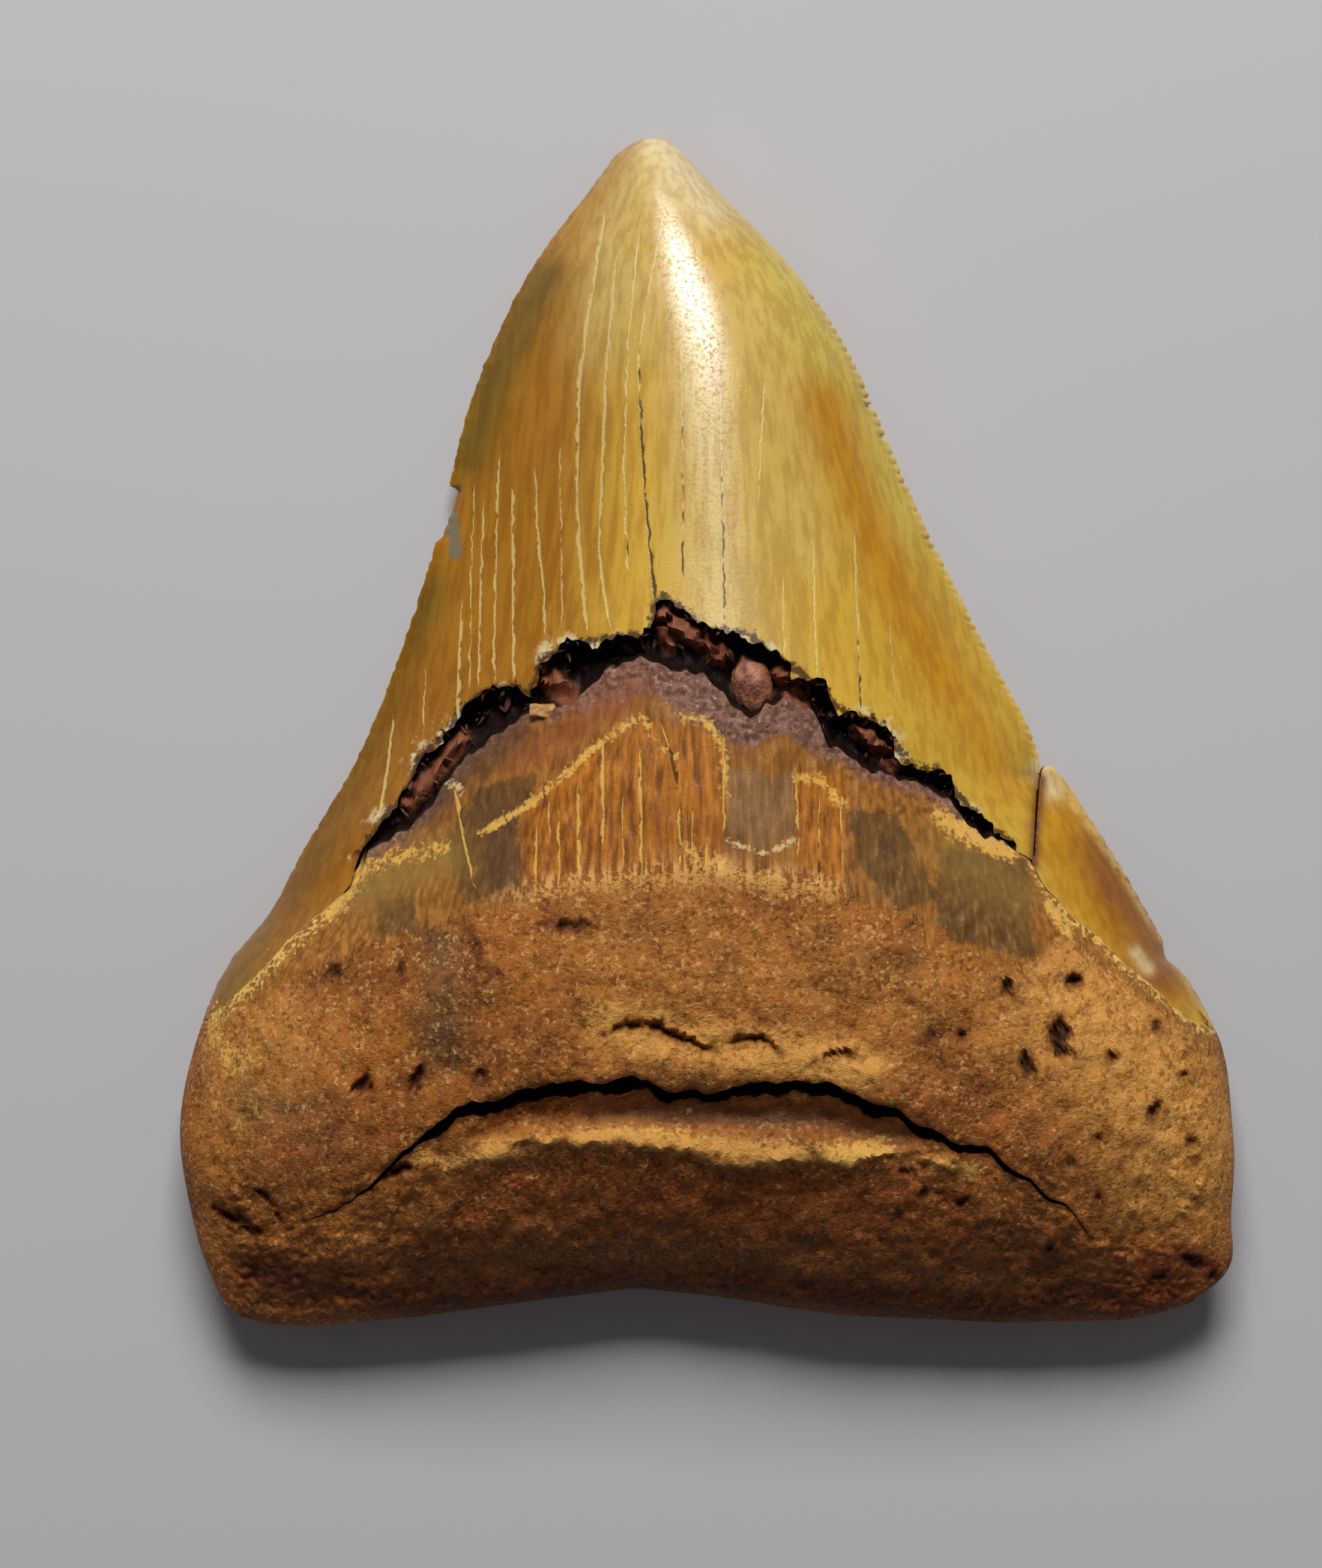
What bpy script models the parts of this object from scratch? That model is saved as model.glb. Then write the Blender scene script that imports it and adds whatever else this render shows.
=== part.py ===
"""Fossil megalodon tooth, one solid, lying on its flat labial face.

The crown's tip points along +Y, the convex lingual face looks up along +Z, and the labial face
rests on z = 0. The body is a loft of closed sections from the root's base to the tip. Every place
on it has a column, from -1 at the left edge to 1 at the right, and a station, the section's Y on
the centre line. Cracks, the crevice under the crown, pits and chips are then cut from the loft.
All sizes below are in millimetres.
"""

import math

import bmesh
import bpy
import numpy as np
from mathutils import Matrix, Vector, noise

MM = 0.001

# Outline in plan, as (y, x).
BASE_CORNER_Y = -39.8
BASE_HALF_WIDTH = 33.5
TIP_Y = 41.5
LEFT_EDGE = (
    (TIP_Y, -4.7), (40.8, -5.9), (39.6, -7.0), (37.7, -8.4), (33.5, -11.6), (28.2, -14.5),
    (22.0, -16.9), (15.6, -18.4), (9.3, -20.2), (3.0, -22.4), (-3.4, -25.3), (-9.7, -29.0),
    (-13.0, -30.8), (-15.4, -32.8), (-20.1, -35.1), (-24.2, -36.2), (-28.4, -36.6), (-32.5, -36.0),
    (-36.7, -34.9), (BASE_CORNER_Y, -BASE_HALF_WIDTH),
)
RIGHT_EDGE = (
    (TIP_Y, -2.8), (40.8, -1.9), (39.6, -0.8), (37.7, 1.0), (33.5, 5.1), (28.2, 9.1),
    (22.0, 12.1), (15.6, 14.8), (9.3, 17.9), (3.0, 21.2), (-0.2, 22.9), (-3.2, 24.3),
    (-5.5, 26.0), (-9.7, 29.0), (-13.9, 31.5), (-18.0, 34.0), (-22.2, 35.9), (-26.3, 36.4),
    (-30.4, 36.6), (-34.6, 36.4), (-37.7, 36.0), (BASE_CORNER_Y, BASE_HALF_WIDTH),
)
# The right shoulder's enamel broke off level with SHOULDER_TOP_Y and shifted outwards.
SHOULDER_TOP_Y = -3.2
CROWN_JOG = -0.9
CROWN_JOG_FADE = 1.2
SHOULDER_JOG = 0.9
SHOULDER_JOG_FADE = 4.0
JOG_COLUMN = 0.8

# The root's base, as (x, y): two lobes with a low arch between them. Rows between the base and
# ARCH_TOP_Y change from this curve to straight ones.
BASE_MIDDLE_Y = -38.8
ARCH_TOP_Y = -20.0
BASE_CURVE = (
    (-BASE_HALF_WIDTH, BASE_CORNER_Y), (-32.5, -40.7), (-30.4, -41.3), (-27.3, -41.4),
    (-20.0, -40.8), (-11.6, -39.6), (-4.9, BASE_MIDDLE_Y), (0.9, -39.4), (9.2, -40.7),
    (20.8, -41.2), (29.0, -41.0), (31.5, -40.5), (BASE_HALF_WIDTH, BASE_CORNER_Y),
)

# Profiles along the tooth, as (station, value).
CREST_HEIGHT = (
    (BASE_MIDDLE_Y, 5.5), (-38.3, 8.0), (-37.2, 9.8), (-35.0, 11.8), (-31.5, 14.0),
    (-28.5, 15.2), (-24.0, 16.3), (-19.5, 17.2), (-14.5, 17.5), (-8.0, 16.8), (1.0, 15.7),
    (9.0, 14.8), (19.0, 12.5), (29.6, 9.2), (36.2, 6.1), (40.0, 3.7), (TIP_Y, 2.8),
)
RIM_HEIGHT = (
    (BASE_MIDDLE_Y, 5.5), (-28.0, 5.6), (-22.0, 4.8), (-15.0, 3.2), (-8.0, 2.6), (10.0, 2.4),
    (30.0, 2.4), (TIP_Y, 2.4),
)
LABIAL_HEIGHT = (
    (BASE_MIDDLE_Y, 4.2), (-38.3, 2.2), (-37.2, 0.8), (-35.5, 0.0), (18.0, 0.0), (30.0, 0.4),
    (38.0, 1.2), (TIP_Y, 1.8),
)
# A section's height falls from its crest as (1 - |column| ** power) ** fullness.
SECTION_POWER = ((BASE_MIDDLE_Y, 3.0), (-25.0, 2.8), (-12.0, 2.4), (0.0, 2.1), (TIP_Y, 2.0))
SECTION_FULLNESS = (
    (BASE_MIDDLE_Y, 0.5), (-25.0, 0.52), (-15.0, 0.75), (-6.0, 1.05), (10.0, 1.25), (TIP_Y, 1.2),
)
# The labial face is flat up to this column, then curls up to the rim: as an ellipse where the
# curl is 0.5, on the root, and as a parabola where it is 1, on the blade.
FLAT_COLUMN = 0.55
LABIAL_CURL = ((BASE_MIDDLE_Y, 0.5), (-22.0, 0.5), (-8.0, 0.95), (TIP_Y, 1.0))

# Relief on the lingual face: lines as (x, y), heights and half widths.
RECESS_LINE = ((-16.0, -27.6), (-12.4, -26.1), (-2.3, -25.9), (7.8, -26.3), (15.0, -28.3))
RECESS_DEPTH = 1.5
RECESS_REACH = 1.3
LEDGE_LINE = (
    (-16.5, -29.7), (-12.4, -27.8), (-6.5, -27.7), (-0.7, -28.4), (1.8, -29.6), (6.8, -28.7),
    (9.6, -29.4), (13.9, -28.3), (18.0, -30.2),
)
LEDGE_HEIGHT = 0.5
LEDGE_REACH = 0.9
BROW_RISE = 0.6
BROW_REACH = 1.8
BROW_OFFSET = 3.4
RELIEF_HALF_SPAN = 16.0
LUMP_HEIGHT = 0.35
LUMP_SIZE = 4.0
LUMP_FADE_Y = (-14.0, -9.0)
CROWN_STEP = 0.5
ENAMEL_BOUNDARY = (
    (-33.4, -19.1), (-30.5, -16.4), (-28.6, -14.3), (-26.0, -12.2), (-24.0, -10.6),
    (-22.0, -8.0), (22.0, -8.0), (23.2, -10.9), (24.9, -12.9), (27.0, -14.4), (28.6, -16.2),
    (30.8, -17.9), (33.0, -20.0),
)
SHOULDER_DROP = 0.7
SHOULDER_DROP_REACH = 4.0
SHOULDER_START_X = 22.0

# Crevice under the crown: the crown's broken margin, then the ragged top of the root.
CROWN_MARGIN = (
    (-24.1, -8.6), (-22.2, -5.9), (-20.7, -4.2), (-19.8, -1.7), (-17.8, 0.0), (-16.9, 1.4),
    (-15.4, 2.7), (-13.1, 3.0), (-12.2, 2.3), (-11.3, 4.8), (-9.9, 5.6), (-7.1, 6.2),
    (-3.9, 6.4), (-3.6, 8.5), (-3.0, 8.9), (-2.0, 8.2), (-0.3, 6.9), (1.1, 6.6), (2.9, 6.3),
    (4.2, 5.1), (6.2, 3.8), (7.9, 2.8), (8.7, 1.5), (10.4, 0.7), (11.8, 0.3), (13.2, -1.6),
    (13.9, -2.6), (15.7, -2.7), (17.3, -4.5), (18.7, -6.3), (21.0, -7.7),
)
ROOT_MARGIN = (
    (-23.4, -8.5), (-20.2, -6.5), (-18.7, -4.8), (-17.2, -2.5), (-14.6, -0.5), (-12.5, 1.0),
    (-10.0, 1.4), (-8.2, 2.7), (-6.7, 4.1), (-4.4, 4.8), (-2.5, 4.0), (-0.3, 3.6), (1.0, 2.4),
    (2.0, 1.2), (2.9, 0.7), (3.8, 1.4), (5.3, 2.1), (7.1, 1.2), (8.1, -1.1), (10.9, -2.8),
    (13.9, -3.5), (16.5, -4.9), (18.1, -6.8), (20.6, -8.0),
)
CREVICE_DEPTH = 3.2
CREVICE_ROUGHNESS = 0.7
CREVICE_TIP_X = 23.0
# Places where broken tissue still stands in the crevice.
TISSUE_PLACES = ((-1.6, 8.0), (11.6, -0.3))
TISSUE_HEIGHT = 1.5
TISSUE_REACH = 2.4

# Fissures: path as (x, y), greatest width, greatest depth.
FISSURES = {
    "root_crack": (
        (
            (-20.6, -28.8), (-19.2, -27.4), (-16.9, -26.1), (-13.8, -25.1), (-11.3, -24.5),
            (-8.2, -24.1), (-4.0, -24.0), (-2.0, -24.8), (-0.3, -24.9), (2.7, -24.2),
            (8.0, -24.1), (10.3, -25.3), (12.8, -26.1), (16.0, -27.8), (19.1, -29.0),
            (21.7, -30.6), (24.2, -32.3), (26.0, -34.6),
        ),
        1.35,
        4.5,
    ),
    "crack_tail": (
        ((-27.5, -33.4), (-25.4, -33.0), (-23.4, -31.3), (-21.8, -30.0), (-20.3, -29.7)),
        0.6,
        1.6,
    ),
    "upper_crack_left": (
        ((-7.1, -20.6), (-5.6, -19.9), (-3.6, -19.9), (-2.0, -20.8), (0.5, -21.7)),
        0.5,
        1.2,
    ),
    "upper_crack_middle": (((1.0, -21.4), (2.2, -20.8), (3.5, -20.7), (4.9, -21.8)), 0.4, 1.0),
    "upper_crack_right": (((6.8, -22.4), (8.5, -21.7), (10.2, -22.0)), 0.35, 0.8),
    "base_gash": (((-34.0, -32.9), (-32.6, -33.7), (-30.8, -34.8)), 0.6, 1.2),
    "base_scratch": (((-31.3, -30.9), (-30.4, -31.8), (-29.3, -33.5)), 0.4, 0.8),
    "shoulder_crack": (
        ((23.6, -1.6), (23.2, -3.4), (22.7, -6.5), (22.4, -9.0), (22.5, -11.6), (22.8, -13.8)),
        0.7,
        1.6,
    ),
}
FISSURE_FLOOR = 0.35
FISSURE_END = 0.15

# Nutrient pits on the root, as (x, y, radius), and larger chips, as (centre, half sizes).
PITS = (
    (-25.5, -16.6, 0.55), (-23.3, -24.1, 0.7), (-19.6, -23.5, 0.6), (-15.3, -23.3, 0.45),
    (-15.7, -14.5, 0.5), (-20.9, -32.2, 0.6), (20.2, -17.6, 0.55), (24.9, -17.1, 0.6),
    (23.8, -20.9, 1.0), (21.5, -22.6, 0.75), (27.4, -22.2, 0.5), (30.4, -26.0, 0.7),
    (33.1, -28.2, 0.5), (26.6, -32.0, 0.5), (-9.3, -13.2, 0.9),
)
PIT_FLATNESS = 0.7
CHIPS = {
    "base_corner_chip": ((33.4, -39.0, 11.0), (3.4, 1.7, 3.4)),
    "left_edge_chip": ((-19.3, 15.3, 3.0), (1.2, 1.9, 2.2)),
    "right_edge_nick": ((12.2, 22.6, 3.6), (0.7, 0.5, 1.3)),
}
CHIP_ROUGHNESS = 0.12

# Serrations that are still sharp, on the right cutting edge.
SERRATION_PITCH = 0.72
SERRATION_WIDTH = 0.4
SERRATION_DEPTH = 0.3
SERRATION_OVERLAP = 0.15
SERRATION_HALF_HEIGHT = 1.6
SERRATED_FROM_Y = 32.0
SERRATED_TO_Y = -1.5

# Grain of matrix lodged in the crevice.
GRAIN_CENTRE = (2.9, 3.0)
GRAIN_HALF_SIZES = (1.05, 1.85, 1.1)
GRAIN_SINK = 2.0
GRAIN_TURN = math.radians(22.0)

# Mesh spacing: the sections' stations, and how many columns the root has from edge to edge. The
# crown has half as many, and the tip and the labial face a quarter.
TOP_COLUMNS = 56
COLUMNS_PER_LABIAL_FACE = 4
ROOT_STATIONS = (
    BASE_MIDDLE_Y, -38.6, -38.2, -37.5, -36.4, -35.0, -33.4, -32.0, -30.9, -29.9, -29.0, -28.1,
    -27.2, -26.3, -25.3, -24.2, -22.8, -21.2, -19.3, -17.2, -15.0, -12.8, -10.8, -9.0, -7.2,
    -5.5, -4.0, -3.25, -3.15, -2.2, -0.6, 1.4, 3.6, 6.0,
)
CROWN_STATIONS = (8.4, 11.0, 13.8, 16.6, 19.4, 22.2, 25.0, 27.8, 30.4, 32.8, 35.0)
TIP_STATIONS = (36.8, 38.3, 39.6, 40.6, 41.2, TIP_Y)

MATERIALS = {
    "crown_enamel": ((0.50, 0.29, 0.07), 0.28),
    "root_dentine": ((0.24, 0.115, 0.045), 0.7),
    "broken_dentine": ((0.045, 0.02, 0.014), 0.9),
    "grain_stone": ((0.33, 0.19, 0.12), 0.75),
}


def spline(points, at):
    """Values at the places `at` of the natural cubic spline through (place, value) points."""
    knots = np.array(sorted(points))
    places, values = knots[:, 0], knots[:, 1]
    gaps = np.diff(places)
    matrix = np.eye(len(places))
    target = np.zeros(len(places))
    for i in range(1, len(places) - 1):
        matrix[i, i - 1 : i + 2] = gaps[i - 1], 2 * (gaps[i - 1] + gaps[i]), gaps[i]
        slopes = (values[i + 1] - values[i]) / gaps[i], (values[i] - values[i - 1]) / gaps[i - 1]
        target[i] = 6 * (slopes[0] - slopes[1])
    bend = np.linalg.solve(matrix, target)
    at = np.clip(at, places[0], places[-1])
    i = np.clip(np.searchsorted(places, at) - 1, 0, len(gaps) - 1)
    gap = gaps[i]
    after, before = at - places[i], places[i + 1] - at
    cubic = (bend[i] * before**3 + bend[i + 1] * after**3) / (6 * gap)
    left = (values[i] / gap - bend[i] * gap / 6) * before
    right = (values[i + 1] / gap - bend[i + 1] * gap / 6) * after
    return cubic + left + right


def straight(points, at):
    """Values at the places `at` of the straight runs through (place, value) points."""
    places, values = zip(*points)
    return np.interp(at, places, values)


def smoothstep(low, high, value):
    """0 below low, 1 above high, and a smooth change between them."""
    t = min(max((value - low) / (high - low), 0.0), 1.0)
    return t * t * (3 - 2 * t)


def hump(distance, reach):
    """A bell of height 1 that fades over about `reach`."""
    return math.exp(-((distance / reach) ** 2))


def edges_at(y):
    """X of the left and right edges of the outline, without the right shoulder's jog."""
    return float(spline(LEFT_EDGE, y)), float(spline(RIGHT_EDGE, y))


def shoulder_jog(column, y):
    """How far the break in the right shoulder moves a column outwards."""
    if y > SHOULDER_TOP_Y:
        jog = CROWN_JOG * math.exp((SHOULDER_TOP_Y - y) / CROWN_JOG_FADE)
    else:
        jog = SHOULDER_JOG * math.exp((y - SHOULDER_TOP_Y) / SHOULDER_JOG_FADE)
    return jog * smoothstep(JOG_COLUMN, 1.0, column)


def arch_share(station):
    """How much of the base's curve a row follows: 1 at the base, 0 above the arch."""
    return min(max((ARCH_TOP_Y - station) / (ARCH_TOP_Y - BASE_MIDDLE_Y), 0.0), 1.0)


def plan_point(column, station):
    """(x, y) of a column at a station."""
    share = arch_share(station)
    if share == 0:
        y = edge_y = station
    else:
        curve_y = float(straight(BASE_CURVE, column * BASE_HALF_WIDTH))
        y = share * curve_y + (1 - share) * ARCH_TOP_Y
        edge_y = share * BASE_CORNER_Y + (1 - share) * ARCH_TOP_Y
    left, right = edges_at(edge_y)
    return left + (right - left) * (column + 1) / 2 + shoulder_jog(column, y), y


def column_and_station(x, y):
    """The column and station of a place in plan."""
    station = y
    for _ in range(20):
        share = arch_share(station)
        edge_y = share * BASE_CORNER_Y + (1 - share) * ARCH_TOP_Y if share else station
        left, right = edges_at(edge_y)
        column = min(max(2 * (x - left) / (right - left) - 1, -1.0), 1.0)
        if y < ARCH_TOP_Y:
            curve_y = float(straight(BASE_CURVE, column * BASE_HALF_WIDTH))
            station = ARCH_TOP_Y - (ARCH_TOP_Y - BASE_MIDDLE_Y) * (
                (ARCH_TOP_Y - y) / (ARCH_TOP_Y - curve_y)
            )
    return column, station


def relief(x, y, column):
    """Height of the lumps, ledge and steps that stand on the smooth lingual face."""
    inner = 1 - abs(column) ** 4
    lumps = LUMP_HEIGHT * noise.noise(Vector((x, y, 0)) / LUMP_SIZE)
    height = lumps * (1 - smoothstep(*LUMP_FADE_Y, y)) * inner
    span = 1 - smoothstep(RELIEF_HALF_SPAN - 4, RELIEF_HALF_SPAN + 2, abs(x))
    recess_y = float(straight(RECESS_LINE, x))
    height -= span * RECESS_DEPTH * hump(y - recess_y, RECESS_REACH)
    height += span * BROW_RISE * hump(y - recess_y - BROW_OFFSET, BROW_REACH)
    height += span * LEDGE_HEIGHT * hump(y - float(straight(LEDGE_LINE, x)), LEDGE_REACH)
    height += inner * CROWN_STEP * smoothstep(-1.0, 1.0, y - crevice_middle(x))
    above = y - float(straight(ENAMEL_BOUNDARY, x))
    if abs(x) > SHOULDER_START_X and above > 0:
        fade = smoothstep(SHOULDER_START_X, SHOULDER_START_X + 3, abs(x))
        drop = smoothstep(0, 0.8, above) * (1 - smoothstep(1, SHOULDER_DROP_REACH, above))
        height -= SHOULDER_DROP * fade * drop * inner
    return height


def lingual_height(column, station):
    """Z of the lingual face."""
    rim = float(spline(RIM_HEIGHT, station))
    crest = float(spline(CREST_HEIGHT, station))
    power = float(spline(SECTION_POWER, station))
    fullness = float(spline(SECTION_FULLNESS, station))
    smooth = rim + (crest - rim) * max(1 - abs(column) ** power, 0.0) ** fullness
    if station == BASE_MIDDLE_Y or station == TIP_Y:
        return smooth
    return smooth + relief(*plan_point(column, station), column)


def labial_height(column, station):
    """Z of the labial face, which is flat over its middle half."""
    flat = max(float(straight(LABIAL_HEIGHT, station)), 0.0)
    rim = float(spline(RIM_HEIGHT, station))
    curled = max((abs(column) - FLAT_COLUMN) / (1 - FLAT_COLUMN), 0.0)
    curl = 1 - (1 - curled**2) ** float(spline(LABIAL_CURL, station))
    return flat + (rim - flat) * curl


def surface_point(x, y):
    """The point of the lingual face above a place in plan."""
    return Vector((x, y, lingual_height(*column_and_station(x, y))))


def make_material(name):
    """A Principled material of the object's own."""
    colour, roughness = MATERIALS[name]
    material = bpy.data.materials.new(name)
    material.use_nodes = True
    shader = material.node_tree.nodes["Principled BSDF"]
    shader.inputs["Base Color"].default_value = (*colour, 1.0)
    shader.inputs["Roughness"].default_value = roughness
    shader.inputs["Metallic"].default_value = 0.0
    return material


def make_object(name, mesh_builder, material_names):
    """A named object from a bmesh in millimetres, written in metres with its faces outward."""
    bmesh.ops.recalc_face_normals(mesh_builder, faces=mesh_builder.faces)
    bmesh.ops.scale(mesh_builder, vec=(MM, MM, MM), verts=mesh_builder.verts)
    mesh = bpy.data.meshes.new(name)
    mesh_builder.to_mesh(mesh)
    mesh_builder.free()
    made = bpy.data.objects.new(name, mesh)
    bpy.context.scene.collection.objects.link(made)
    for material_name in material_names:
        mesh.materials.append(bpy.data.materials[material_name])
    return made


def top_columns():
    """Column values from edge to edge, closer together near both edges."""
    steps = np.linspace(-1.0, 1.0, TOP_COLUMNS + 1)
    return 0.55 * steps + 0.45 * np.sin(steps * math.pi / 2)


def add_row(builder, columns, station, column_step):
    """Adds one closed section and returns its lingual and labial vertices, left to right."""
    lingual = []
    for column in columns[::column_step]:
        x, y = plan_point(column, station)
        lingual.append(builder.verts.new((x, y, lingual_height(column, station))))
    labial = [lingual[0]]
    for column in columns[COLUMNS_PER_LABIAL_FACE:-1:COLUMNS_PER_LABIAL_FACE]:
        x, y = plan_point(column, station)
        labial.append(builder.verts.new((x, y, labial_height(column, station))))
    return lingual, labial + [lingual[-1]]


def join_rows(builder, first, second):
    """Faces between two neighbouring runs of vertices. The second may skip every few places."""
    step = (len(first) - 1) // (len(second) - 1)
    for i, (low, next_low) in enumerate(zip(second, second[1:])):
        run = first[i * step : (i + 1) * step + 1]
        if step == 1:
            builder.faces.new((run[0], run[1], next_low, low))
            continue
        for j, (high, next_high) in enumerate(zip(run, run[1:])):
            corner = low if j < step // 2 else next_low
            if corner not in (high, next_high):
                builder.faces.new((high, next_high, corner))
        middle = run[step // 2]
        if middle not in (low, next_low):
            builder.faces.new((middle, next_low, low))


def close_end(builder, lingual, labial):
    """Closes a section's end between its lingual and labial vertices."""
    if len(lingual) > len(labial):
        join_rows(builder, lingual, labial)
        return
    for i in range(len(labial) - 1):
        corners = (lingual[i], lingual[i + 1], labial[i + 1], labial[i])
        builder.faces.new(dict.fromkeys(corners))


def crevice_middle(x):
    """Y of the line midway between the crevice's two lips."""
    return float(straight(CROWN_MARGIN, x) + straight(ROOT_MARGIN, x)) / 2


def above_enamel_line(x, y):
    """Whether a place on the lingual face has enamel."""
    if abs(x) > SHOULDER_START_X:
        return y > float(straight(ENAMEL_BOUNDARY, x))
    return y > crevice_middle(x)


def build_tooth():
    """The loft from the root's base to the crown's tip."""
    builder = bmesh.new()
    columns = top_columns()
    rows = []
    for column_step, stations in ((1, ROOT_STATIONS), (2, CROWN_STATIONS), (4, TIP_STATIONS)):
        rows += [add_row(builder, columns, station, column_step) for station in stations]
    for (lingual, labial), (next_lingual, next_labial) in zip(rows, rows[1:]):
        join_rows(builder, lingual, next_lingual)
        join_rows(builder, labial, next_labial)
    close_end(builder, *rows[0])
    close_end(builder, *rows[-1])
    for face in builder.faces:
        middle = face.calc_center_median()
        face.material_index = 0 if above_enamel_line(middle.x, middle.y) else 1
    tooth = make_object("tooth", builder, ("crown_enamel", "root_dentine", "broken_dentine"))
    tooth.data.shade_smooth()
    tooth.data.set_sharp_from_angle(angle=math.radians(40))
    return tooth


def mark_cutter(cutter, cutters):
    """Hides a cutter and puts it with the others."""
    cutter.hide_render = True
    cutter.display_type = "WIRE"
    bpy.context.scene.collection.objects.unlink(cutter)
    cutters.objects.link(cutter)


def build_fissure(name, path, width, depth):
    """A wedge along a path: open above the face, narrow at its floor, pointed at both ends."""
    builder = bmesh.new()
    points = [Vector(point) for point in path]
    sections = []
    for i, point in enumerate(points):
        ahead = points[min(i + 1, len(points) - 1)] - points[max(i - 1, 0)]
        across = Vector((-ahead.y, ahead.x)).normalized()
        swell = max(math.sin(math.pi * i / (len(points) - 1)) ** 0.5, FISSURE_END)
        surface = surface_point(point.x, point.y).z
        section = []
        for share, height in ((1, 1.0), (-1, 1.0), (-FISSURE_FLOOR, None), (FISSURE_FLOOR, None)):
            place = point + across * share * swell * width / 2
            z = surface - depth * swell if height is None else surface + height
            section.append(builder.verts.new((place.x, place.y, z)))
        sections.append(section)
    for first, second in zip(sections, sections[1:]):
        join_rows(builder, first + first[:1], second + second[:1])
    builder.faces.new(sections[0])
    builder.faces.new(sections[-1])
    return make_object(name, builder, ("broken_dentine",))


def build_crevice():
    """The ragged hollow between the crown's margin and the root: its lips in plan, cut down."""
    builder = bmesh.new()
    lips = CROWN_MARGIN + ROOT_MARGIN[::-1]
    top = [builder.verts.new((x, y, surface_point(x, y).z + 1.5)) for x, y in lips]
    outline = builder.faces.new(top)
    flat_heights = [vertex.co.z for vertex in top]
    for vertex in top:
        vertex.co.z = 0
    lid = bmesh.ops.triangulate(builder, faces=[outline])["faces"]
    extruded = bmesh.ops.extrude_face_region(builder, geom=lid, use_keep_orig=True)["geom"]
    floor = [item for item in extruded if isinstance(item, bmesh.types.BMVert)]
    for vertex in floor:
        rough = noise.noise(vertex.co * 0.9 + Vector((0, 0, 3))) * CREVICE_ROUGHNESS
        place = vertex.co.xy
        tissue = sum(hump((place - Vector(spot)).length, TISSUE_REACH) for spot in TISSUE_PLACES)
        ends = min(1.0, 0.35 + (CREVICE_TIP_X - abs(place.x)) / 10)
        depth = CREVICE_DEPTH * ends - TISSUE_HEIGHT * tissue - rough
        vertex.co.z = surface_point(*place).z - depth
    for vertex, height in zip(top, flat_heights):
        vertex.co.z = height
    return make_object("crevice_cutter", builder, ("broken_dentine",))


def build_serrations():
    """One upright three-sided prism for each gap between two serrations."""
    builder = bmesh.new()
    y = SERRATED_FROM_Y
    while y > SERRATED_TO_Y:
        rim = Vector(plan_point(1.0, y))
        along = (Vector(plan_point(1.0, y - 0.1)) - rim).normalized()
        outward = Vector((-along.y, along.x))
        half_mouth = along * SERRATION_WIDTH
        corners = (
            rim - outward * SERRATION_DEPTH,
            rim + outward * SERRATION_OVERLAP + half_mouth,
            rim + outward * SERRATION_OVERLAP - half_mouth,
        )
        middle = float(spline(RIM_HEIGHT, y))
        ends = [
            [builder.verts.new((*corner, middle + side)) for corner in corners]
            for side in (-SERRATION_HALF_HEIGHT, SERRATION_HALF_HEIGHT)
        ]
        join_rows(builder, ends[0] + ends[0][:1], ends[1] + ends[1][:1])
        builder.faces.new(ends[0])
        builder.faces.new(ends[1])
        y += along.y * SERRATION_PITCH
    return make_object("serration_gaps", builder, ("crown_enamel",))


def build_pebble(name, centre, half_sizes, turn, roughness, detail, material_name):
    """An icosphere stretched to an ellipsoid, with a rough skin."""
    builder = bmesh.new()
    bmesh.ops.create_icosphere(builder, subdivisions=detail, radius=1.0)
    for vertex in builder.verts:
        vertex.co *= 1 + roughness * noise.noise(vertex.co * 2.3 + Vector(centre))
    place = Matrix.Translation(centre) @ Matrix.Rotation(turn, 4, "Z")
    stretch = Matrix.Diagonal((*half_sizes, 1.0))
    bmesh.ops.transform(builder, matrix=place @ stretch, verts=builder.verts)
    return make_object(name, builder, (material_name,))


def build_cutters():
    """All that is cut from the loft, in one collection."""
    cutters = bpy.data.collections.new("cutters")
    bpy.context.scene.collection.children.link(cutters)
    mark_cutter(build_crevice(), cutters)
    mark_cutter(build_serrations(), cutters)
    for name, (path, width, depth) in FISSURES.items():
        mark_cutter(build_fissure(name, path, width, depth), cutters)
    for number, (x, y, radius) in enumerate(PITS, start=1):
        sizes = (radius, radius, radius * PIT_FLATNESS)
        pit = build_pebble(
            f"pit_{number:02d}", surface_point(x, y), sizes, 0.0, CHIP_ROUGHNESS, 1,
            "broken_dentine",
        )
        mark_cutter(pit, cutters)
    for name, (centre, sizes) in CHIPS.items():
        chip = build_pebble(name, centre, sizes, 0.0, CHIP_ROUGHNESS, 2, "broken_dentine")
        mark_cutter(chip, cutters)
    return cutters


def build_grain():
    """The lodged grain, clear of the crevice's walls and floor."""
    x, y = GRAIN_CENTRE
    centre = surface_point(x, y) - Vector((0, 0, GRAIN_SINK))
    return build_pebble(
        "lodged_grain", centre, GRAIN_HALF_SIZES, GRAIN_TURN, CHIP_ROUGHNESS, 2, "grain_stone"
    )


def main():
    """Clears the scene and builds the tooth and the grain."""
    for old in list(bpy.data.objects):
        bpy.data.objects.remove(old)
    for name in MATERIALS:
        make_material(name)
    tooth = build_tooth()
    cutters = build_cutters()
    cut = tooth.modifiers.new("breaks", "BOOLEAN")
    cut.operation = "DIFFERENCE"
    cut.operand_type = "COLLECTION"
    cut.collection = cutters
    cut.solver = "EXACT"
    build_grain().data.shade_smooth()


main()
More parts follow.
